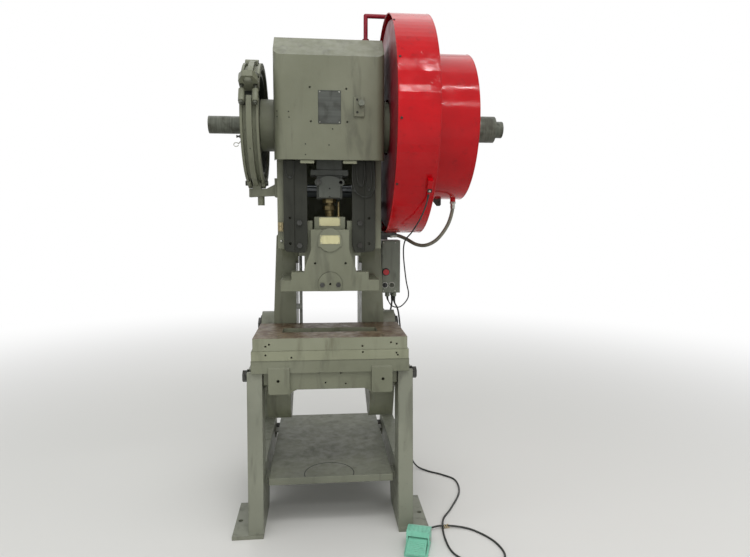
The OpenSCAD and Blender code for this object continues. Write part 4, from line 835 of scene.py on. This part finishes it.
for name, routes in OIL_TUBES.items():
    tubes = []
    for k, route in enumerate(routes):
        y = TUBE_Y + CROSSING_LIFT * (k == 1)
        tubes.append(tube(flowing([(x, y, z) for x, z in route], 8), TUBE_R, 10))
    piece(name, tubes, "painted_tube", sharp=60)
unions = [hex_head((x, GIB_FRONT, z), "front", radius=6.5, height=7) for x, z in UNIONS]
piece("oil_tube_unions", unions, "painted_tube")
lube_button = turned([(7, 0), (7, 3), (5, 6), (2, 7)], (-224, -340, 1371), "front", 20)
piece("gib_lube_button", [lube_button], "zinc")


# Ram: worn cream plates, the gauge rod beside the screw, and the screw's thread

CREAM_PLATES = (("cap_plate", CAP_FRONT, 98, 1460, 44), ("ram_plate", RAM_PAD_FRONT, 90, 1379, 40))
pins = []
for name, front, width, z, pin_x in CREAM_PLATES:
    piece(name, [rimmed_plate(width, 40, 1.8, 1.6, (0, front, z), "front")], "cream_plate", "slide")
    pins += [
        button_head((x, front - 1.2, z + dz), "front", radius=2.4, height=1.2)
        for x in (-pin_x, pin_x) for dz in (-15, 15)
    ]
piece("plate_pins", pins, "zinc", "slide")
rod = turned([(9, 0), (9, 5), (4.5, 6), (4.5, 70), (3.4, 71.5)], (42, -310, 1483), "top", 20)
piece("height_gauge_rod", [rod], "bronze", "slide")


def thread(low, high, pitch, inner, outer, steps=32):
    """A screw's thread: the radius swings from inner to outer in a sharp wave of height / pitch - turn."""
    t = np.linspace(0, FULL_TURN, steps, endpoint=False)
    z = np.arange(low, high, pitch / 4)
    phase = (z[:, None] / pitch - t[None] / FULL_TURN) % 1.0
    radius = inner + (outer - inner) * (1 - np.abs(2 * phase - 1))
    heights = np.broadcast_to(z[:, None], radius.shape)
    return shell(np.stack([radius * np.cos(t), DIE_Y + radius * np.sin(t), heights], -1))


screw = thread(1486, 1612, pitch=6.0, inner=20.6, outer=22.6)
piece("adjusting_screw_thread", [screw], "bronze", "connecting_rod", sharp=50)
clamp_holes = [tapped_hole((0, PITMAN_FRONT, z), "front", radius=4.0) for z in (1613, 1575)]
piece("pitman_clamp_screws", clamp_holes, "black_screw", "connecting_rod")


# Control box: lid screws, collars round its switches, hinges

lid_screws = [
    button_head((x, LID_FRONT, z), "front", radius=4.2, height=2.4) for x in (299, 364) for z in (1079, 1345)
]
piece("lid_screws", lid_screws, "zinc")


def collar(x, z, inner, outer, thick):
    """A flat ring on the lid round a switch, its inner and outer edges broken."""
    profile = [(outer, 0), (outer, thick - 0.6), (outer - 0.8, thick), (inner + 0.6, thick)]
    profile += [(inner, thick - 0.6), (inner, 0)]
    return turned(profile, (x, LID_FRONT, z), "front", 40, True)


piece("stop_collar", [collar(313, 1184, inner=17.0, outer=21.0, thick=3.0)], "black_plastic")
piece("switch_collars", [collar(x, 1111, inner=13.8, outer=17.0, thick=2.2) for x in (308, 346)], "zinc")
HINGE = [(3.4, 0), (4, 0.6), (4, 45), (3.4, 45.6)]
piece("lid_hinges", [turned(HINGE, (289.5, 79, z), "top", 16) for z in (1100, 1278)], "box_paint")


# Foot switch: tread bars on the pedal, ribs and screws on its hood

SWITCH_TURN = math.radians(-18)
ALONG_X = np.array([math.cos(SWITCH_TURN), math.sin(SWITCH_TURN), 0.0])
ALONG_Y = np.array([-math.sin(SWITCH_TURN), math.cos(SWITCH_TURN), 0.0])
PEDAL_RUN, PEDAL_RISE, PEDAL_TOE = 88, 26, (-92, 30)  # the pedal's slope, and its front edge as (y, z)
HOOD_HALF, HOOD_TOP = 52, 88


def by_switch(x, y, z):
    """A place in the foot switch's own turned frame."""
    return np.array([382.0, -628.0, 0.0]) + x * ALONG_X + y * ALONG_Y + [0, 0, z]


slope = np.array([PEDAL_RUN, PEDAL_RISE]) / math.hypot(PEDAL_RUN, PEDAL_RISE)
tread_face = leaning(ALONG_X, np.cross(ALONG_X, slope[0] * ALONG_Y + [0, 0, slope[1]]))
bars = []
for y in range(-84, -22, 9):
    z = PEDAL_TOE[1] + (y - PEDAL_TOE[0]) * PEDAL_RISE / PEDAL_RUN
    bars.append(plate(72, 4, 2.0, by_switch(0, y, z), tread_face, corner=1.8, edge=0.8))
piece("pedal_tread", bars, "switch_teal", "pedal")
hood_face = leaning(ALONG_X, (0, 0, 1))
ribs = [
    plate(5, 44, 2.4, by_switch(x, 15, HOOD_TOP), hood_face, corner=2, edge=0.9)
    for x in (-36, -18, 0, 18, 36)
]
piece("switch_hood_ribs", ribs, "switch_teal", "stand")
hood_sides = [(HOOD_HALF, leaning(ALONG_Y, ALONG_X)), (-HOOD_HALF, leaning(-ALONG_Y, -ALONG_X))]
hood_screws = [
    button_head(by_switch(x, y, z), face, radius=4.4, height=2.2)
    for x, face in hood_sides for y, z in ((-8, 70), (52, 66), (52, 14), (-52, 8))
]
pivot_cap = [(7.5, 0), (7.5, 2), (6, 3)]
hood_screws += [turned(pivot_cap, by_switch(x, 8, 50), face, 24) for x, face in hood_sides]
piece("switch_side_screws", hood_screws, "zinc", "stand")


# Motor: end-bell screws, rings of the fan cover, terminal lid, bolts of its feet and bracket

TERMINAL = np.array([-70, 553, 1570])  # the middle of the terminal box's left side
bells = around(MOTOR_Y, MOTOR_Z, 98, 4, MOTOR_X + MOTOR_HALF_LENGTH, 0.785)
piece("motor_bell_screws", [hex_head(at, "right", radius=6, height=5) for at in bells], "black_screw")
fan_side = (MOTOR_X - MOTOR_HALF_LENGTH, MOTOR_Y, MOTOR_Z)
fan_rings = []
for r in (24, 42, 60, 78):
    rib = [(r + 3, 0), (r + 3, 1.6), (r + 2, 2.4), (r - 2, 2.4), (r - 3, 1.6), (r - 3, 0)]
    fan_rings.append(turned(rib, fan_side, "left", 48, True))
piece("fan_cover_rings", fan_rings, "motor_paint")
piece("terminal_lid", [plate(48, 74, 4, TERMINAL, "left", corner=5, edge=1.5)], "motor_paint")
corners = [
    cap_head(TERMINAL + [-4, y, z], "left", radius=3.6, height=2.8) for y in (-17, 17) for z in (-29, 29)
]
piece("terminal_lid_screws", corners, "black_screw")
feet = [hex_head((x, y, 1460), "top", radius=8, height=7) for x in (-120, 100) for y in (350, 510)]
piece("motor_foot_bolts", feet, "black_screw")
back_bolts = [
    hex_head((x, 307, z), "back", radius=10, height=8) for x in (-182, 182) for z in (1345, 1570)
]
piece("motor_bracket_bolts", back_bolts, "black_screw")


# Stand: shelf bracket bolts, and a round line worn into the shelf's paint

shelf_bolts = [
    hex_head((x, y, 211), face, radius=7, height=5)
    for x, face in ((-310, "right"), (310, "left")) for y in (-312, -278, 268, 302)
]
piece("shelf_bracket_bolts", shelf_bolts, "leg_paint", "stand")
# An arc of 5 mm width: place = (-10, -385) + r (cos t, sin t), its section carried round
t = np.linspace(-0.33, math.pi + 0.33, 60)[:, None]
section = np.array([(115.5, 0.0), (115.5, 0.15), (120.5, 0.15), (120.5, 0.0)])
r, high = section[:, 0], section[:, 1]
mark = [-10 + r * np.cos(t), -385 + r * np.sin(t)]
mark.append(np.broadcast_to(SHELF_TOP + high, mark[0].shape))
piece("shelf_ring_mark", [shell(np.stack(mark, -1))], "black_screw", "stand")


# Floor, light and background

WHITE = (1, 1, 1, 1)
FLOOR_REACH = 30.0
FADE_FROM, FADE_TO = 1.4, 6.5  # metres from the press over which the floor turns white


def background_ray(tree):
    """1 for the rays by which the camera, metal and glass see the background."""
    ray = add(tree, "ShaderNodeLightPath")
    seen = combined(tree, ray["Is Camera Ray"], ray["Is Glossy Ray"], "MAXIMUM")
    return combined(tree, seen, ray["Is Transmission Ray"], "MAXIMUM")


def pale_floor():
    """A plain pale floor; far from the press the rays that see the background find it white."""
    mesh = bpy.data.meshes.new("pale_floor")
    corners = [(x * FLOOR_REACH, y * FLOOR_REACH, 0) for x, y in ((-1, -1), (1, -1), (1, 1), (-1, 1))]
    mesh.from_pydata(corners, [], [(0, 1, 2, 3)])
    material, tree, shader, place = begin("pale_plaster_floor")
    shader.inputs["Base Color"].default_value = colour("#d6d5d1")
    shader.inputs["Roughness"].default_value = 0.8
    away = add(tree, "ShaderNodeVectorMath", {0: place, 1: (0.0, 0.0, 0.0)}, operation="DISTANCE")["Value"]
    faded = combined(tree, mask(tree, away, FADE_FROM, FADE_TO), background_ray(tree))
    white = add(tree, "ShaderNodeEmission", {"Color": WHITE, "Strength": 1.0})[0]
    both = add(tree, "ShaderNodeMixShader", {0: faded, 1: shader.outputs[0], 2: white})[0]
    output = next(node for node in tree.nodes if node.type == "OUTPUT_MATERIAL")
    tree.links.new(both, output.inputs["Surface"])
    mesh.materials.append(material)
    in_scene("pale_floor", mesh)


def pale_world():
    """Soft grey light all round; the camera and mirror rays see plain white."""
    world = bpy.data.worlds.new("pale_world")
    world.use_nodes = True
    tree = world.node_tree
    tree.nodes.clear()
    soft = add(tree, "ShaderNodeBackground", {"Color": colour("#f2f4f5"), "Strength": 0.62})[0]
    white = add(tree, "ShaderNodeBackground", {"Color": WHITE, "Strength": 1.0})[0]
    both = add(tree, "ShaderNodeMixShader", {0: background_ray(tree), 1: soft, 2: white})[0]
    add(tree, "ShaderNodeOutputWorld", {"Surface": both})
    bpy.context.scene.world = world


def soft_lamp(name, place, target, size, power, mirrored=False):
    """A soft rectangular lamp that faces its target; gloss mirrors it, or only the light on it."""
    data = bpy.data.lights.new(name, "AREA")
    data.shape = "RECTANGLE"
    data.size, data.size_y = size
    data.energy = power
    lamp = in_scene(name, data)
    lamp.visible_glossy = mirrored
    away = np.array(place, float) - np.array(target, float)
    away /= np.linalg.norm(away)
    straight_down = abs(away[2]) > 0.99
    across = np.cross([0.0, 1.0, 0.0] if straight_down else [0.0, 0.0, 1.0], away)
    across /= np.linalg.norm(across)
    lamp.matrix_world = standing(across, np.cross(away, across), away, place)


pale_floor()
pale_world()
soft_lamp("front_overhead", (-0.5, -2.6, 4.3), (0, -0.3, 1.3), (3.0, 1.6), 36)
# Two narrow lamps, which the gloss of the guards mirrors as bright lines
soft_lamp("strip_overhead", (0.9, -2.25, 4.4), (0.5, -0.8, 1.6), (2.6, 0.06), 30, mirrored=True)
soft_lamp("strip_behind", (1.2, -4.9, 4.4), (0.6, -0.6, 1.6), (2.6, 0.08), 26, mirrored=True)
soft_lamp("room_overhead", (0.2, 0.6, 4.6), (0.2, 0.6, 0), (3.2, 2.6), 18, mirrored=True)
soft_lamp("low_front", (0.1, -3.6, 1.0), (0, 0, 0.6), (3.4, 1.2), 22)
soft_lamp("back_overhead", (-0.4, 3.6, 3.4), (0, 0, 1.2), (3.0, 1.6), 34)
soft_lamp("right_fill", (3.6, -1.6, 2.4), (0, 0, 1.3), (1.6, 2.4), 14)
soft_lamp("left_fill", (-3.6, -1.2, 2.4), (0, 0, 1.3), (1.6, 2.4), 14)

bpy.context.scene.view_settings.view_transform = "Standard"
